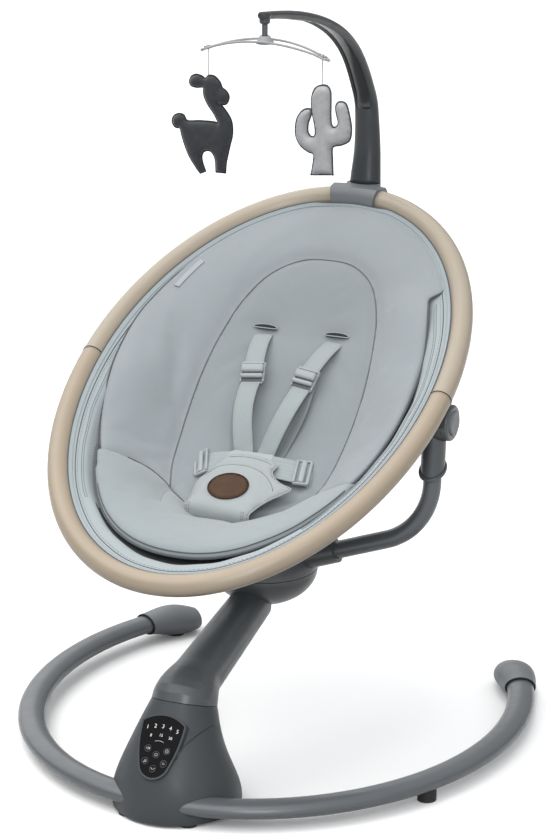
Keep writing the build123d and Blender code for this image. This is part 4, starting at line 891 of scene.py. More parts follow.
# ------------------------------------------------------------------ harness
def ribbon_data(p, side, up, width, thick, ribs=0, offset=0):
    n = len(p)
    k = 6 * ribs + 1 if ribs else 17
    s = np.linspace(-1, 1, k)
    h = thick / 2 * (1 - 0.4 * np.abs(s) ** 10)
    h = h + (0.22 * MM * np.cos(s * math.pi * ribs) if ribs else 0.22 * MM * np.exp(-((np.abs(s) - 0.84) / 0.09) ** 2))
    upper = p[:, None] + side[:, None] * (s * width / 2)[None, :, None] + up[:, None] * h[None, :, None]
    lower = p[:, None] + side[:, None] * (s[::-1] * width / 2)[None, :, None] - up[:, None] * h[::-1][None, :, None]
    loop = np.concatenate([upper, lower], 1)
    m = 2 * k
    faces = []
    for i in range(n - 1):
        for j in range(m):
            q = (j + 1) % m
            faces.append((offset + i * m + j, offset + (i + 1) * m + j, offset + (i + 1) * m + q, offset + i * m + q))
    faces.append(tuple(offset + j for j in reversed(range(m))))
    faces.append(tuple(offset + (n - 1) * m + j for j in range(m)))
    return loop.reshape(-1, 3), faces


SEAT_N = np.array([0, -SIN, COS])


def strap_frame(points, step=2.2):
    """Centre line, side and face directions of a strap given by seat points and a roll in degrees."""
    q = spline(np.asarray(points, float), step)
    p = seat(q[:, 0], q[:, 1], q[:, 2])
    t = np.gradient(p, axis=0)
    t /= np.linalg.norm(t, axis=1)[:, None]
    side = np.cross(t, SEAT_N)
    side /= np.linalg.norm(side, axis=1)[:, None]
    up = np.cross(side, t)
    r = np.radians(q[:, 3])[:, None]
    return p, side * np.cos(r) + up * np.sin(r), up * np.cos(r) - side * np.sin(r), t


def straps(name, paths, width, thick, material, ribs=0):
    vs, fs, n = [], [], 0
    for points in paths:
        p, side, up, _ = strap_frame(points)
        v, f = ribbon_data(p, side, up, width * MM, thick * MM, ribs, n)
        vs.append(v)
        fs += f
        n += len(v)
    return outward(mesh_piece(name, np.vstack(vs), fs, material))


def mirrored(points):
    return [(-q[0], q[1], q[2], -q[3]) for q in points]


def rbox(centre, axes, half, bevel=0.8, seg=3):
    """Rounded bar: centre in metres, axes as unit vectors, half sizes and rounding in millimetres."""
    bm = bmesh.new()
    bmesh.ops.create_cube(bm, size=2.0)
    for v in bm.verts:
        v.co = Vector((v.co.x * half[0], v.co.y * half[1], v.co.z * half[2]))
    bmesh.ops.bevel(bm, geom=list(bm.edges), offset=min(bevel, min(half) * 0.96), segments=seg, profile=0.5, affect="EDGES")
    bm.verts.index_update()
    co = np.array([tuple(v.co) for v in bm.verts]) * MM
    faces = [tuple(v.index for v in f.verts) for f in bm.faces]
    bm.free()
    return np.asarray(centre) + co @ np.asarray(axes), faces


def bars(name, parts, material):
    vs, fs, n = [], [], 0
    for v, f in parts:
        vs.append(v)
        fs += [tuple(i + n for i in q) for q in f]
        n += len(v)
    return outward(mesh_piece(name, np.vstack(vs), fs, material))


UPPER = [(48.4, 112, -48, 0), (48.3, 107.5, -40.5, 0), (47.4, 100, -35.0, 0), (44.0, 80, -30.5, 0), (40.0, 60, -30.0, 0), (37.0, 46, -31.5, 0), (34.8, 34, -35.0, 0), (33.6, 26, -39.0, 0)]
LOWER = [(35.0, 37, -39.5, 0), (34.0, 26, -38.5, 0), (32.2, 8, -38.0, 0), (28.6, -15, -41.0, 0), (23.6, -36, -49.0, 0), (18.4, -53, -60.0, 0), (15.4, -62, -67.5, 0), (14.6, -68, -72.5, 0)]
TAIL = [(36.2, 34, -42.5, -6), (36.8, 18, -46.5, -8), (36.4, -4, -54.0, -10), (33.0, -26, -63.0, -12), (27.5, -46, -71.5, -10), (23.5, -60, -76.5, -6), (21.5, -68, -79.0, 0)]
webbing = straps("shoulder_webbing", [UPPER, mirrored(UPPER), LOWER, mirrored(LOWER)], 24.0, 1.7, mat["web"])
tails = straps("shoulder_webbing_tails", [TAIL, mirrored(TAIL)], 25.0, 1.6, mat["web_painted_shade"])
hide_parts("shoulder_straps")
for d in (webbing, tails):
    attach(d, "seat")
edge_rows = []
for pts in (UPPER, mirrored(UPPER), LOWER, mirrored(LOWER)):
    p, side, up, _ = strap_frame(pts)
    for k in (-1, 1):
        edge_rows.append(p + side * k * 9.6 * MM + up * 1.05 * MM)
strap_stitch = stitches("shoulder_webbing_stitch", edge_rows, mat["web"], 2.4, 1.3, 0.28)
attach(strap_stitch, "seat")

frame_parts, lock_shade_parts = [], []
for sx in (1, -1):
    p, side, up, t = strap_frame(UPPER if sx > 0 else mirrored(UPPER), 1.0)
    k = int(np.argmin(np.abs((p - seat(0, 0, 0)) @ np.array([0, COS, SIN]) - 35.0 * MM)))
    o, ax = p[k] + up[k] * 0.6 * MM, np.stack([t[k], side[k], up[k]])
    for c, h, b in (((-1.0, 14.2, -0.6), (13.5, 1.3, 2.2), 1.1), ((-1.0, -14.2, -0.6), (13.5, 1.3, 2.2), 1.1),
                    ((-12.8, 0, 1.2), (1.8, 14.2, 1.7), 1.4), ((-4.8, 0, 3.8), (5.4, 14.6, 3.2), 2.9),
                    ((5.0, 0, 3.2), (3.0, 14.4, 2.6), 2.3), ((12.6, 0, -1.2), (1.6, 14.2, 1.5), 1.2)):
        frame_parts.append(rbox(o + np.array(c) @ ax * MM, ax, h, b))
    # thin near-black plates in the slits between the bars: painted shade
    for c, h in (((-10.9, 0, 2.0), (1.0, 13.4, 0.6)), ((9.6, 0, 0.9), (2.4, 13.4, 0.7))):
        lock_shade_parts.append(rbox(o + np.array(c) @ ax * MM, ax, h, 0.3))
adjusters = bars("shoulder_ladder_locks", frame_parts, mat["buckle"])
adjuster_shade = bars("shoulder_ladder_lock_painted_shade", lock_shade_parts, mat["buckle_painted_shade"])
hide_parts("shoulder_adjusters")

WAIST = [(26, -84, -66.5, 0), (40, -84.5, -66.8, 0), (56, -85, -68.0, 0), (70, -85, -70.0, 0), (79, -85, -73.0, 0), (84, -85, -78.0, 0), (85.5, -85, -84.0, 0)]
WAIST_LEFT = [(-26, -84, -67.5, 0), (-38, -84.5, -69.5, 0), (-50, -85, -72.5, 0), (-62, -85, -76.0, 0), (-70, -85, -79.5, 0), (-75, -85, -84.0, 0), (-76.5, -85, -88.0, 0)]
waist = straps("waist_webbing", [WAIST, WAIST_LEFT], 33.0, 2.0, mat["web"], ribs=6)
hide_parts("waist_straps")
waist_parts = []
for sx in (1, -1):
    dip = math.radians(9.0 if sx > 0 else 17.0)
    turn = math.radians(11.0 if sx > 0 else 21.0)
    out_d = sx * (math.cos(turn) * np.array([1.0, 0, 0]) + math.sin(turn) * np.array([0, COS, SIN]))
    long_d = math.cos(turn) * np.array([0, COS, SIN]) - math.sin(turn) * np.array([1.0, 0, 0])
    ax = np.stack([math.cos(dip) * out_d - math.sin(dip) * SEAT_N, long_d, math.cos(dip) * SEAT_N + math.sin(dip) * out_d])
    o = seat(70.0, -85.0, -69.4) if sx > 0 else seat(-62.5, -85.0, -75.6)
    for c, h, b in (((-7.0, 0, 2.6), (1.8, 18.6, 2.4), 1.6), ((1.6, 0, 2.4), (3.6, 17.6, 2.6), 2.2), ((9.6, 0, 0.4), (2.2, 18.6, 2.6), 1.9),
                    ((1.0, 18.2, 0.8), (9.6, 1.5, 2.3), 1.2), ((1.0, -18.2, 0.8), (9.6, 1.5, 2.3), 1.2)):
        waist_parts.append(rbox(o + np.array(c) @ ax * MM, ax, h, b))
waist_locks = bars("waist_ladder_locks", waist_parts, mat["buckle"])
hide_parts("waist_adjusters")
CROTCH = [(0, -104, -92, 0), (0, -104.5, -87, 0), (0, -104, -82, 0), (0, -101, -78.5, 0)]
crotch_web = straps("crotch_webbing", [CROTCH], 30.0, 2.0, mat["web_painted_shade"], ribs=5)
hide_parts("crotch_strap")
for d in (waist, crotch_web):
    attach(d, "seat")
for d in (adjusters, adjuster_shade, waist_locks):
    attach(d, "seat")

# slots of the insert: a near-black lens of painted shade stands for the slit's dark opening, with a bound edge, set in
# the surface that the pad has there
lens_v, lens_f, binds, nn = [], [], [], 0
back_flat = coords(insert_back)
flat_v = (back_flat - seat(0, 0, 0)) @ np.array([0, COS, SIN]) / MM
flat_w = (back_flat - seat(0, 0, 0)) @ SEAT_N / MM


def insert_surface(x, v):
    out = []
    for a, b in zip(x, v):
        d = np.hypot(back_flat[:, 0] / MM - a, flat_v - b) + np.where(flat_w < -70, 1e3, 0)
        near = d < 6.0
        out.append(flat_w[near].max() if near.any() else flat_w[np.argmin(d)])
    return np.array(out)


for sx, sv in SLOTS:
    u = np.linspace(0, 2 * math.pi, 44, endpoint=False)
    arc = 1.6 * np.cos(u) ** 2
    x = sx + 14.6 * np.cos(u)
    v = sv + 3.4 - arc + 2.6 * np.sign(np.sin(u)) * np.abs(np.sin(u)) ** 0.7
    w = np.median(insert_surface(x, v)) + 0.5 + 0.0 * x
    loop = seat(x, v, w)
    lens_v += [loop, loop - SEAT_N * 0.003]
    m = len(loop)
    lens_f.append(tuple(nn + i for i in range(m)))
    lens_f.append(tuple(nn + m + i for i in reversed(range(m))))
    lens_f += [(nn + i, nn + (i + 1) % m, nn + m + (i + 1) % m, nn + m + i) for i in range(m)]
    nn += 2 * m
    binds.append(seat(sx + 15.8 * np.cos(u), sv + 3.4 - arc + 3.3 * np.sign(np.sin(u)) * np.abs(np.sin(u)) ** 0.7, w))
slot_shade = outward(mesh_piece("strap_slot_painted_shade", np.vstack(lens_v), lens_f, mat["dark"]))
slot_bind = tubes("strap_slot_binding", binds, 0.0008, mat["web"], 6, True)
for d in (slot_shade, slot_bind):
    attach(d, "seat")

# plain sewn tab at the rim
tab_points = [(-171.0, 131.0), (-168.0, 144.0), (-164.5, 157.0), (-160.5, 169.0), (-156.0, 181.0)]
tab = straps("rim_tab", [[(x, v, insert_surface([x], [v])[0] + 1.0, -4.0) for x, v in tab_points]], 7.5, 1.0, mat["label"])
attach(tab, "seat")

# ------------------------------------------------------------------ crotch pad
PA = TILT - math.radians(5.0)
PAD_O = seat(1.0, -138, -51.5)
PAD_U = np.array([0, math.cos(PA), math.sin(PA)])
PAD_N = np.array([0, -math.sin(PA), math.cos(PA)])
FOLD_U, FOLD_R, FOLD_MAX = -32.0, 9.0, math.radians(76)
YAW = math.radians(4.0)


def place_pad(q, h):
    """Pad points (across, along) and height in mm; the front end turns down over a fold."""
    x, u, h = q[:, 0], q[:, 1], np.asarray(h, float)
    past = np.maximum(FOLD_U - u, 0)
    phi = np.minimum(past / FOLD_R, FOLD_MAX)
    rest = np.maximum(past - FOLD_R * FOLD_MAX, 0)
    du = np.where(u > FOLD_U, u, FOLD_U - FOLD_R * np.sin(phi) - rest * np.cos(phi)) - h * np.sin(phi)
    dh = np.where(u > FOLD_U, 0.0, -FOLD_R + FOLD_R * np.cos(phi) - rest * np.sin(phi)) + h * np.cos(phi)
    dh = dh - np.where(x < 0, 21.0, 3.5) * smooth((np.abs(x) - 26.0) / 46.0) * smooth((u + 46) / 26) - 5.0 * smooth((u - 38.0) / 30.0)
    x, du = x * math.cos(YAW) + du * math.sin(YAW), du * math.cos(YAW) - x * math.sin(YAW)
    return PAD_O + (x[:, None] * np.array([1.0, 0, 0]) + du[:, None] * PAD_U + dh[:, None] * PAD_N) * MM


half_pad = [(0, 66.5), (14, 65.5), (26, 62.5), (33.5, 58), (35.5, 52), (35.0, 45), (37.5, 38), (45, 31), (56, 26), (70, 22.5), (65, 12), (55, -2), (48, -16), (44, -29), (42.5, -40), (42.0, -58), (30, -60), (14, -61), (0, -61)]
left_pad = half_pad[:6] + [(38, 38), (43, 31), (49, 26.5), (56, 21), (56, 12), (52, -2), (48, -16)] + half_pad[13:]
pad_line = spline(half_pad + [(-x, u) for x, u in left_pad[-2:0:-1]], 3.2, True)
pad_arc = spline([(-46, 21), (-34, 31), (-18, 38), (0, 41), (18, 38), (34, 30), (46, 19), (53, 9)], 3.2)
pad_top_line = spline([(-29, 53), (-20, 57), (0, 60), (20, 57), (29, 53)], 3.2)
pp_, pt_, prim, pseams = flat_mesh(pad_line, [pad_arc, pad_top_line], 3.6)
d_rim = seg_distance(pp_, pad_line, True)
d_seam = np.minimum(seg_distance(pp_, pad_arc), seg_distance(pp_, pad_top_line))
edge = np.sqrt(np.clip(1 - (1 - np.clip(d_rim / 6.5, 0, 1)) ** 2, 0, 1))
soft = 2.2 * (1 - np.exp(-(np.minimum(d_seam, d_rim) / 12.0) ** 2)) - 1.5 * np.exp(-(d_seam / 2.6) ** 2)
top = -3.0 + edge * (3.2 + soft)
low = -3.0 - edge * 2.8
crotch, npad = two_sided("crotch_pad_cover", pp_, pt_, prim, place_pad, top, low, mat["pad"])
pin = np.ones(len(crotch.data.vertices))
pin[:npad] = np.exp(-(d_seam / 3.0) ** 2)
pin[prim] = 0.9
swell(crotch, pin, 2.0, 12, 2.2)
c = coords(crotch)
crease = wrinkle(c[:npad], 34.0, 7.7) * 0.75 + wrinkle(c[:npad], 90.0, 3.3) * 0.3
fold = 1.1 * np.sin(pp_[:, 1] * 0.16 + pp_[:, 0] * 0.11) * smooth((np.abs(pp_[:, 0]) - 24) / 22) * smooth((24 - pp_[:, 1]) / 20) * smooth((pp_[:, 1] + 34) / 12)
c[:npad] += PAD_N * ((crease + fold) * edge)[:, None] * MM
set_coords(crotch, c)
pad_surface = c[:npad].copy()
pad_lines = [c[i] for i in pseams]
pad_rim = c[prim]
subdivide(crotch, 1)
apply_modifiers(crotch)
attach(crotch, "seat")
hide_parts("crotch_pad")
pad_seams = tubes("crotch_pad_seams", [q + PAD_N * 0.0002 for q in pad_lines], 0.00042, mat["seam"], 6)
pad_piping = tubes("crotch_pad_piping", [pad_rim], 0.0010, mat["pad"], 8, True)
side_rows = []
for sx in (-1, 1):
    for off in (35.5, 38.2):
        q = np.stack([np.full(16, sx * off), np.linspace(-36, -58, 16)], -1)
        side_rows.append(place_pad(q, np.full(16, 2.6)))
pad_stitch = stitches("crotch_pad_stitch", side_rows, mat["seam"], 2.6, 1.4, 0.3)
for d in (pad_seams, pad_piping, pad_stitch):
    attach(d, "seat")


def on_pad(q):
    """Height of the pad's upper face at pad points, from the nearest mesh points."""
    flat = pp_
    h = (pad_surface - PAD_O) @ PAD_N / MM
    out = []
    for a in q:
        d = np.hypot(flat[:, 0] - a[0], flat[:, 1] - a[1])
        k = np.argsort(d)[:6]
        wgt = 1 / (d[k] + 0.4) ** 2
        out.append((h[k] * wgt).sum() / wgt.sum())
    return np.array(out)


# blank leather badge
u = np.linspace(0, 2 * math.pi, 96, endpoint=False)
badge_line = resample(np.stack([25.0 * np.cos(u), -3.0 + 22.5 * np.sin(u)], -1), 2.0, True)
lp_, lt_, lrim, _ = flat_mesh(badge_line, [], 2.4)
base_h = on_pad(lp_)
fit_a = np.stack([lp_[:, 0], lp_[:, 1], lp_[:, 0] ** 2, lp_[:, 1] ** 2, np.ones(len(lp_))], -1)
fit_k = np.linalg.lstsq(fit_a, base_h, rcond=None)[0]
base_h = fit_a @ fit_k + 0.5
d_rim = seg_distance(lp_, badge_line, True)
edge = np.sqrt(np.clip(1 - (1 - np.clip(d_rim / 1.6, 0, 1)) ** 2, 0, 1))
groove = 0.28 * np.exp(-((d_rim - 2.6) / 0.9) ** 2)


def place_badge(q, h):
    x, u = q[:, 0] * math.cos(YAW) + q[:, 1] * math.sin(YAW), q[:, 1] * math.cos(YAW) - q[:, 0] * math.sin(YAW)
    return PAD_O + (x[:, None] * np.array([1.0, 0, 0]) + u[:, None] * PAD_U + np.asarray(h)[:, None] * PAD_N) * MM


badge, nl = two_sided("leather_badge", lp_, lt_, lrim, place_badge, base_h + 0.9 + edge * (0.9 - groove), base_h + 0.9 - edge * 2.2, mat["leather"])
badge_edge = tubes("leather_badge_edge", [coords(badge)[lrim]], 0.0008, mat["leather_edge"], 8, True)
subdivide(badge, 1)
apply_modifiers(badge)
ring_q = np.stack([22.4 * np.cos(u), -3.0 + 19.9 * np.sin(u)], -1)
ring_h = np.stack([ring_q[:, 0], ring_q[:, 1], ring_q[:, 0] ** 2, ring_q[:, 1] ** 2, np.ones(len(ring_q))], -1) @ fit_k + 2.25
badge_stitch = stitches("leather_badge_stitch", [place_badge(ring_q, ring_h)], mat["leather_edge"], 2.2, 1.2, 0.24, True)
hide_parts("pad_badge")
for d in (badge, badge_edge, badge_stitch):
    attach(d, "seat")

# ------------------------------------------------------------------ felt toys
LLAMA = [
    (-78.5, 816.6), (-73.7, 817.5), (-68.2, 815.5), (-62.6, 809.4), (-60.3, 803.8), (-55.5, 800.6),
    (-51.9, 795.8), (-51.9, 789.9), (-55.6, 784.5), (-60.4, 783.8), (-63.6, 784.6), (-58.0, 779.2),
    (-52.5, 772.4), (-48.6, 765.4), (-47.0, 756.7), (-47.5, 746.4), (-50.3, 735.9), (-53.2, 723.9),
    (-55.5, 713.3), (-56.5, 701.4), (-68.9, 701.4), (-69.3, 713.5), (-71.2, 720.7), (-75.1, 725.5),
    (-80.0, 726.6), (-84.8, 724.7), (-87.6, 720.0), (-87.0, 711.9), (-82.9, 701.1), (-89.8, 698.0),
    (-97.8, 707.9), (-105.0, 719.1), (-110.5, 731.9), (-113.7, 742.0), (-116.3, 750.6), (-120.8, 750.5),
    (-125.3, 754.0), (-126.4, 759.4), (-123.9, 764.7), (-117.4, 767.9), (-111.0, 766.6), (-106.5, 760.3),
    (-90.1, 761.5), (-72.5, 761.8), (-66.1, 760.9), (-67.7, 765.9), (-72.4, 773.6), (-78.8, 781.8),
    (-83.2, 790.2), (-84.7, 797.4), (-85.0, 802.5), (-94.6, 801.7), (-101.0, 803.4), (-103.0, 808.3),
    (-100.1, 814.4), (-93.7, 817.1), (-86.5, 815.5), (-82.5, 812.9),
]
CACTUS = [
    (68.2, 816.6), (75.1, 816.4), (79.0, 811.0), (79.8, 802.5), (79.7, 780.9), (80.8, 770.9),
    (84.2, 767.9), (88.5, 770.8), (89.3, 776.0), (86.9, 784.4), (86.1, 792.9), (89.1, 798.2),
    (94.5, 799.1), (99.1, 796.9), (102.2, 788.6), (105.0, 775.9), (106.0, 765.9), (103.6, 754.2),
    (94.1, 748.2), (82.5, 744.3), (82.1, 730.5), (82.7, 711.6), (55.1, 709.0), (57.3, 720.9),
    (58.2, 733.4), (50.7, 736.3), (41.3, 742.7), (35.8, 752.4), (34.7, 763.9), (37.3, 775.8),
    (43.5, 784.3), (49.7, 787.2), (54.4, 786.6), (54.4, 780.1), (51.3, 771.2), (50.3, 762.4),
    (52.2, 756.8), (56.1, 754.2), (59.9, 756.8), (59.6, 767.6), (56.7, 780.3), (55.1, 793.2),
    (56.3, 804.8), (60.5, 813.0),
]


def place_toy(q, h):
    return np.stack([q[:, 0], np.asarray(h, float), q[:, 1]], -1) * MM


for name, outline, dz, body, node, slot, key in (("llama_toy", LLAMA, 2.2, "llama_pendant", "toy_llama", "charcoal_felt", "llama"),
                                                  ("cactus_toy", CACTUS, 3.0, "cactus_pendant", "toy_cactus", "grey_felt", "cactus")):
    sharp = [(-56.5, 701.4), (-68.9, 701.4), (-82.9, 701.1), (-89.8, 698.0), (82.7, 711.6), (55.1, 709.0)]
    line = np.asarray([q for q in outline for _ in range(3 if q in sharp else 1)]) + (4.8, dz)
    line = line + np.linspace(0, 0.02, len(line))[:, None]
    centre = line.mean(0)
    line = spline(line, 2.4, True)
    tp_, tt_, trim_, _ = flat_mesh(line, [], 2.8)
    d_rim = seg_distance(tp_, line, True)
    edge = np.sqrt(np.clip(1 - (1 - np.clip(d_rim / 9.0, 0, 1)) ** 2, 0, 1))
    toy, nt_ = two_sided(name, tp_, tt_, trim_, place_toy, -edge * 7.2, edge * 7.2, mat[key])
    pin = np.zeros(len(toy.data.vertices))
    pin[trim_] = 1.0
    swell(toy, pin, 3.0, 12, 2.2)
    c = coords(toy)
    away = np.sign(c[:, 1])
    c[:, 1] += away * (wrinkle(c, 60.0, 2.0) * 0.5 + wrinkle(c, 170.0, 6.0) * 0.25) * np.clip(np.abs(c[:, 1]) / 0.003, 0, 1) * MM
    set_coords(toy, c)
    rim = c[trim_]
    subdivide(toy, 1)
    apply_modifiers(toy)
    band = tubes(f"{name}_binding", [rim], 0.0011, mat[key + "_edge"], 8, True)
    for d in (toy, band):
        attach(d, body)
    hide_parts(node)

# ------------------------------------------------------------------ panel print
PP = math.radians(35.5)
PANEL_O = np.array([0, -301.5, 86.0]) * MM
PANEL_U = np.array([0, math.sin(PP), math.cos(PP)])
PANEL_N = np.array([0, -math.cos(PP), math.sin(PP)])


def top_of(node):
    return float(((coords(nodes[node]) - PANEL_O) @ PANEL_N).max())


def on_panel(q, h):
    q = np.asarray(q, float)
    return PANEL_O + q[:, :1] * MM * np.array([1.0, 0, 0]) + q[:, 1:] * MM * PANEL_U + h * PANEL_N


face_h = top_of("control_panel")


def digits(name, body, size, spots, material, ride):
    """Plain figures set flat on the panel."""
    vs, fs, n = [], [], 0
    for text, x, u in spots:
        cu = bpy.data.curves.new("figure", "FONT")
        cu.body, cu.size, cu.align_x, cu.align_y, cu.extrude = text, size, "CENTER", "CENTER", 0.06
        cu.resolution_u = 4
        ob = bpy.data.objects.new("figure", cu)
        scene.collection.objects.link(ob)
        me = bpy.data.meshes.new_from_object(ob.evaluated_get(bpy.context.evaluated_depsgraph_get()))
        co = np.array([tuple(v.co) for v in me.vertices])
        vs.append(on_panel(co[:, :2] + (x, u), 0.0) + (face_h + (co[:, 2:3] + 0.06) * MM) * PANEL_N)
        fs += [tuple(i + n for i in f.vertices) for f in me.polygons]
        n += len(co)
        bpy.data.objects.remove(ob)
        bpy.data.curves.remove(cu)
        bpy.data.meshes.remove(me)
    ob = mesh_piece(name, np.vstack(vs), fs, material, flat=True)
    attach(ob, ride)
    return ob


digits("panel_speed_figures", "base", 6.6, [(str(k + 1), x, u) for k, (x, u) in enumerate([(-19.2, 26.0), (-9.7, 28.5), (0, 29.4), (9.7, 28.5), (19.2, 26.0)])], mat["mark"], "base")
digits("panel_timer_figures", "base", 4.8, [("8", -12.5, 16.9), ("15", 0.0, 18.8), ("30", 12.5, 16.9)], mat["mark"], "base")
arc_u = np.linspace(math.radians(62), math.radians(118), 14)
lines = [on_panel(np.stack([12.0 * np.cos(arc_u), 1.0 + 11.0 * np.sin(arc_u)], -1), face_h + 0.00005)]
ob = tubes("panel_arc_mark", lines, 0.00022, mat["mark"], 6)
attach(ob, "base")


def circle(r, a0=0, a1=360, n=28, cx=0.0, cy=0.0):
    a = np.radians(np.linspace(a0, a1, n))
    return np.stack([cx + r * np.cos(a), cy + r * np.sin(a)], -1)


ICONS = {
    "volume": [np.array([(-1.9, -0.7), (-1.9, 0.7), (-0.9, 0.7), (0.3, 1.7), (0.3, -1.7), (-0.9, -0.7), (-1.9, -0.7)]), circle(1.1, -45, 45, 8, 0.4), circle(2.0, -45, 45, 10, 0.4)],
    "timer": [circle(1.9), np.array([(0, 1.1), (0, 0), (0.9, -0.5)])],
    "power": [circle(1.7, 125, 415, 24), np.array([(0, 2.1), (0, 0.4)])],
    "music": [np.array([(-0.5, -1.2), (-0.5, 1.7), (1.5, 1.2), (1.5, -0.7)]), circle(0.55, 0, 360, 12, -1.0, -1.3), circle(0.55, 0, 360, 12, 1.0, -0.8)],
    "speed": [np.array([(-1.9, 1.3), (-0.3, 0), (-1.9, -1.3)]), np.array([(0.1, 1.3), (1.7, 0), (0.1, -1.3)])],
    "motion": [circle(2.0, 205, 335, 14, 0, 1.2), np.array([(-2.4, 0.9), (-1.85, 0.3), (-1.0, 0.5)]), np.array([(2.4, 0.9), (1.85, 0.3), (1.0, 0.5)])],
}
SPOTS = {"volume": (-12.2, 1.5), "timer": (12.2, 1.5), "power": (0.0, -4.5), "music": (-11.9, -13.6), "speed": (11.9, -13.6), "motion": (0.0, -21.3)}
for key, spot in SPOTS.items():
    h = top_of(f"panel_key_{key}") + 0.00004
    sign = tubes(f"key_{key}_mark", [on_panel(q + spot, h) for q in ICONS[key]], 0.00019, mat["mark"], 5)
    outline = tubes(f"key_{key}_outline", [on_panel(circle(3.9, 0, 360, 40) + spot, h)], 0.00019, mat["mark_dim"], 5)
    for ob in (sign, outline):
        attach(ob, f"panel_key_{key}")

# ------------------------------------------------------------------ toy bar with its dark channel
BAR = np.array([(307.2, 633.0, 96.5, 41.0, 30.0), (313.1, 680.3, 92.7, 34.4, 27.2), (309.6, 727.7, 78.4, 31.0, 25.2), (288.1, 771.1, 57.8, 29.7, 23.4),
                (258.3, 808.2, 44.6, 28.5, 20.9), (220.3, 836.5, 29.6, 27.0, 18.3), (177.2, 856.6, 21.0, 24.2, 15.5), (132.1, 871.3, 15.5, 20.5, 13.1),
                (85.8, 882.3, 11.5, 16.7, 11.3), (39.0, 890.5, 8.7, 13.4, 9.9), (-8.0, 897.0, 7.2, 11.0, 9.0)])
bs = np.concatenate([[0], np.cumsum(np.hypot(np.diff(BAR[:, 0]), np.diff(BAR[:, 1])))])
bs /= bs[-1]
st = np.linspace(0, 1, 120)
by, bz, bu, bw, bth = (pchip(bs, BAR[:, k], st) for k in range(5))
bu = np.degrees(np.unwrap(np.arctan2(np.gradient(bz, st), -np.gradient(by, st))))
run = np.stack([0 * st, -np.cos(np.radians(bu)), np.sin(np.radians(bu))], -1)
inn = np.stack([0 * st, -np.sin(np.radians(bu)), -np.cos(np.radians(bu))], -1)
ring_n = 72
ang = np.linspace(0, 2 * math.pi, ring_n, endpoint=False)
depth = 4.2 * smooth((st - 0.17) / 0.10) * smooth((0.80 - st) / 0.16)
rows, floor_rows = [], []
across = np.linspace(-1, 1, 15)
for k in range(len(st)):
    x = bw[k] / 2 * np.cos(ang)
    n = bth[k] / 2 * np.sin(ang)
    half = bw[k] * 0.36
    n = n - depth[k] * smooth((half - np.abs(x)) / 2.2) * (np.sin(ang) > 0)
    q = np.array([0, by[k], bz[k]]) + x[:, None] * np.array([1.0, 0, 0]) + n[:, None] * inn[k]
    if k == 0:
        q = q + run[k] * ((633.0 - q[:, 2]) / run[k][2])[:, None]
    rows.append(np.where(np.arange(1)[:, None] == 0, q, q))
    xf = across * (half - 1.6)
    nf_ = bth[k] / 2 * np.sqrt(np.clip(1 - (xf / (bw[k] / 2)) ** 2, 0, 1)) - depth[k] + 0.25
    floor_rows.append(np.array([0, by[k], bz[k]]) + xf[:, None] * np.array([1.0, 0, 0]) + nf_[:, None] * inn[k])
for k in range(1, 6):
    rows[k][:, 2] = np.maximum(rows[k][:, 2], rows[0][:, 2] + 0.3 * k)
bar_v = np.vstack(rows) * MM
bar_f = grid_faces(ring_n, len(st), True) + [tuple(range(ring_n)), tuple(range((len(st) - 1) * ring_n, len(st) * ring_n))]
bar = outward(mesh_piece("toy_bar", bar_v, bar_f, mat["slate_arm"]))
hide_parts("toy_arm")
use = [k for k in range(len(st)) if depth[k] > 1.2]
strip_up = np.vstack([floor_rows[k] for k in use]) * MM
strip_lo = np.vstack([floor_rows[k] - inn[k] * 1.0 for k in use]) * MM
m, w_ = len(use), len(across)
strip_f = []
for off in (0, m * w_):
    strip_f += [(off + i * w_ + j, off + i * w_ + j + 1, off + (i + 1) * w_ + j + 1, off + (i + 1) * w_ + j) for i in range(m - 1) for j in range(w_ - 1)]
loop = [i * w_ for i in range(m)] + [(m - 1) * w_ + j for j in range(1, w_)] + [i * w_ + w_ - 1 for i in range(m - 2, -1, -1)] + list(range(w_ - 2, 0, -1))
strip_f += [(loop[i], loop[(i + 1) % len(loop)], loop[(i + 1) % len(loop)] + m * w_, loop[i] + m * w_) for i in range(len(loop))]
channel = outward(mesh_piece("toy_bar_channel", np.vstack([strip_up, strip_lo]), strip_f, mat["slate_channel"]))
tip_p = np.array([(0, 0, z) for z in (886.2, 886.8, 888.0, 893.0, 897.6, 899.4, 900.2)]) * MM
tip_v, tip_f = tube_data(tip_p, np.array([4.6, 5.8, 6.4, 6.6, 6.2, 4.8, 2.6]) * MM, 32)
tip = outward(mesh_piece("toy_bar_tip", tip_v, tip_f, mat["slate_channel"]))
for d in (bar, channel, tip):
    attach(d, "seat")

# ------------------------------------------------------------------ bow of the mobile
BOW_Z, BOW_HALF, BOW_DROP = 869.0, 84.0, 18.0
bow_v, bow_f, bn = [], [], 0


def bow_add(points, r, sides=10):
    global bn
    v, f = tube_data(np.asarray(points, float) * MM, np.asarray(r, float) * MM, sides, False, bn)
    bow_v.append(v)
    bow_f.extend(f)
    bn += len(v)


def bow_level(x):
    return BOW_Z - BOW_DROP * (x / BOW_HALF) ** 2 - 2.6


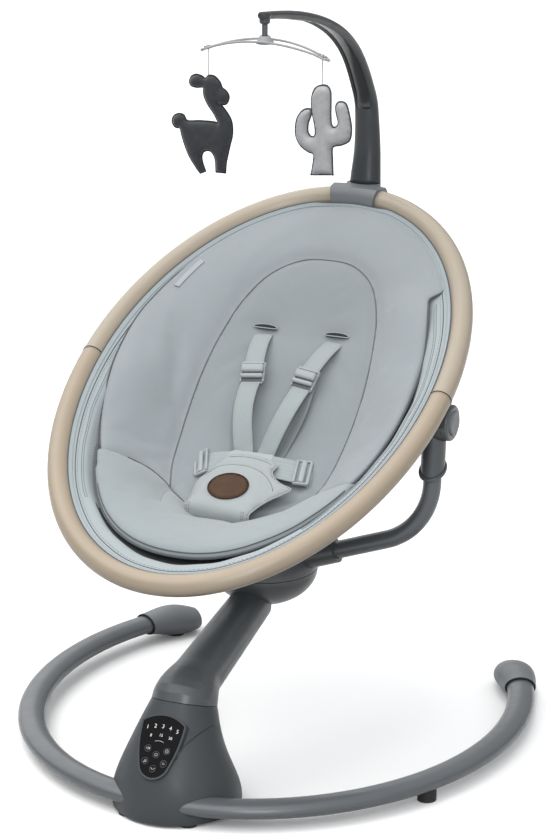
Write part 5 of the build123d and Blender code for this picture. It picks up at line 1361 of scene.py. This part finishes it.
for sy in (-1, 1):
    x = np.linspace(-81.5, 81.5, 140)
    y = np.maximum(11.7 * (1 - (x / BOW_HALF) ** 2), 5.2 * smooth((81.8 - np.abs(x)) / 5.0) * smooth((np.abs(x) - 56.0) / 14.0))
    bow_add(np.stack([x, sy * y, bow_level(x)], -1), np.full(len(x), 1.45))
for sx in (-1, 1):
    tip_x = np.linspace(79.5, 83.6, 6)
    bow_add(np.stack([sx * tip_x, 0 * tip_x, bow_level(tip_x)], -1), np.array([1.2, 1.9, 2.0, 1.8, 1.3, 0.5]))
    for bx in (68.4, 78.6):
        bow_add([(sx * bx, -4.9, bow_level(bx)), (sx * bx, 0, bow_level(bx)), (sx * bx, 4.9, bow_level(bx))], np.full(3, 1.2))
    pin_z = BOW_Z - BOW_DROP * (73.5 / BOW_HALF) ** 2 - 1.8
    bow_add([(sx * 68.4, 0, pin_z), (sx * 73.5, 0, pin_z), (sx * 78.6, 0, pin_z)], np.full(3, 1.2))
BOSS = [(6.05, -6.0), (10.2, -6.0), (11.0, -5.4), (11.0, -4.4), (10.2, -3.6), (8.6, -1.4), (7.2, 1.2), (6.7, 2.6), (6.0, 3.2), (3.95, 3.2), (3.95, -3.7), (6.05, -3.7)]
ang = np.linspace(0, 2 * math.pi, 48, endpoint=False)
boss = np.concatenate([[(r * math.cos(a), r * math.sin(a), BOW_Z + z) for r, z in BOSS] for a in ang]) * MM
m = len(BOSS)
bow_v.append(boss)
bow_f += [(bn + i * m + j, bn + ((i + 1) % 48) * m + j, bn + ((i + 1) % 48) * m + (j + 1) % m, bn + i * m + (j + 1) % m) for i in range(48) for j in range(m)]
bow = outward(mesh_piece("mobile_bow_frame", np.vstack(bow_v), bow_f, mat["bow"]))
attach(bow, "mobile")
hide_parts("mobile_bow")

# ------------------------------------------------------------------ small trim
def ring_at(centre, e1, e2, r1, r2, n=64):
    a = np.linspace(0, 2 * math.pi, n, endpoint=False)
    return np.asarray(centre) + (np.cos(a)[:, None] * np.asarray(e1) * r1 + np.sin(a)[:, None] * np.asarray(e2) * r2) * MM


# dark rings at the mouths of the foot caps: painted shadow in the gap between cap and tube
mouths = []
for sx in (1, -1):
    u = math.radians(27.4)
    c0 = np.array([sx * 300 * math.cos(u), 39 + 342 * math.sin(u), 24.0]) * MM
    tg = np.array([-sx * 300 * math.sin(u), 342 * math.cos(u), 0])
    tg /= np.linalg.norm(tg)
    mouths.append(ring_at(c0 - tg * 0.0003, np.array([tg[1], -tg[0], 0]), np.array([0, 0, 1.0]), 18.5, 12.5))
mouth = tubes("foot_cap_mouth_painted_shadows", mouths, 0.0012, mat["dark"], 8, True)
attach(mouth, "base")

seam_dark, seam_light = [], []
for sx in (1, -1):
    for v, store, r in ((0.0, seam_dark, 13.05), (-2.0, seam_light, 13.1)):
        x = sx * 230.6 * math.sqrt(1 - (v / 336.0) ** 2)
        store.append(ring_at(seat(x, v, 0.0), np.array([1.0, 0, 0]), SEAT_N, r, r))
for name, store, r, key in (("ring_seam_gaps", seam_dark, 0.0007, "dark"), ("ring_seam_lips", seam_light, 0.0005, "ring")):
    ob = tubes(name, store, r, mat[key], 8, True)
    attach(ob, "seat")

# a thin dark tube drawn along the housing's crease: the crease is real, its dark line is painted shade
CREASE = [(23.6, -299.8, 78.1), (24.4, -294.9, 84.8), (28.0, -287.4, 91.6), (33.7, -276.7, 96.9), (38.9, -264.6, 101.5), (43.4, -251.9, 103.7), (45.3, -242.8, 103.6)]
crease_line = []
for q in spline(CREASE, 2.0) * MM:
    hit, at, away, _ = nodes["base_housing"].ray_cast(cam.location, (Vector(q) - cam.location).normalized())
    if hit:
        crease_line.append(np.array(at) + np.array(away) * 0.0002)
ob = tubes("housing_crease_painted_shade", [np.array(crease_line)], np.interp(np.linspace(0, 1, len(crease_line)), [0, 0.3, 1.0], [0.0010, 0.0010, 0.0004]), mat["slate_channel"], 8)
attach(ob, "base")

# ------------------------------------------------------------------ floor, light
floor = mesh_piece("floor", [(-40, -40, 0), (40, -40, 0), (40, 40, 0), (-40, 40, 0)], [(0, 1, 2, 3)], moulded("floor_paper", (0.965, 0.965, 0.965), 0.95, bump=0.0, vary=0.003, specular=0.1))
world = bpy.data.worlds.new("studio")
scene.world = world
world.use_nodes = True
sky = world.node_tree
sky.nodes["Background"].inputs["Color"].default_value = (0.97, 0.985, 1.0, 1)
where = sky.nodes.new("ShaderNodeTexCoord")
parts_xyz = sky.nodes.new("ShaderNodeSeparateXYZ")
height = sky.nodes.new("ShaderNodeMapRange")
for k, value in (("From Min", -0.10), ("From Max", 0.75), ("To Min", 0.16), ("To Max", 0.92)):
    height.inputs[k].default_value = value
sky.links.new(where.outputs["Generated"], parts_xyz.inputs["Vector"])
sky.links.new(parts_xyz.outputs["Z"], height.inputs["Value"])
sky.links.new(height.outputs["Result"], sky.nodes["Background"].inputs["Strength"])
floor.visible_diffuse = False


def area(name, at, to, size, power, colour=(1, 1, 1)):
    li = bpy.data.lights.new(name, "AREA")
    li.shape = "RECTANGLE"
    li.size, li.size_y = size
    li.energy = power
    li.color = colour
    ob = bpy.data.objects.new(name, li)
    scene.collection.objects.link(ob)
    ob.location = at
    ob.rotation_mode = "QUATERNION"
    ob.rotation_quaternion = (Vector(to) - Vector(at)).to_track_quat("-Z", "Y")
    return ob


def sun(name, at, strength, angle, colour=(1, 1, 1)):
    li = bpy.data.lights.new(name, "SUN")
    li.energy = strength
    li.angle = math.radians(angle)
    li.color = colour
    ob = bpy.data.objects.new(name, li)
    scene.collection.objects.link(ob)
    ob.location = at
    ob.rotation_mode = "QUATERNION"
    ob.rotation_quaternion = (-Vector(at)).to_track_quat("-Z", "Y")
    return ob


sun("key", (-0.9, -1.0, 2.9), 1.68, 60, (1.0, 0.985, 0.96))
sun("fill", (2.2, -2.0, 1.6), 0.32, 70, (0.97, 0.985, 1.0))
sun("rim", (-2.0, 1.5, 1.8), 0.85, 60)
area("strip", (0.95, -2.0, 1.3), (0.02, -0.2, 0.25), (0.30, 1.6), 21)

scene.view_settings.view_transform = "Standard"
scene.view_settings.look = "None"
scene.view_settings.exposure = 0.0
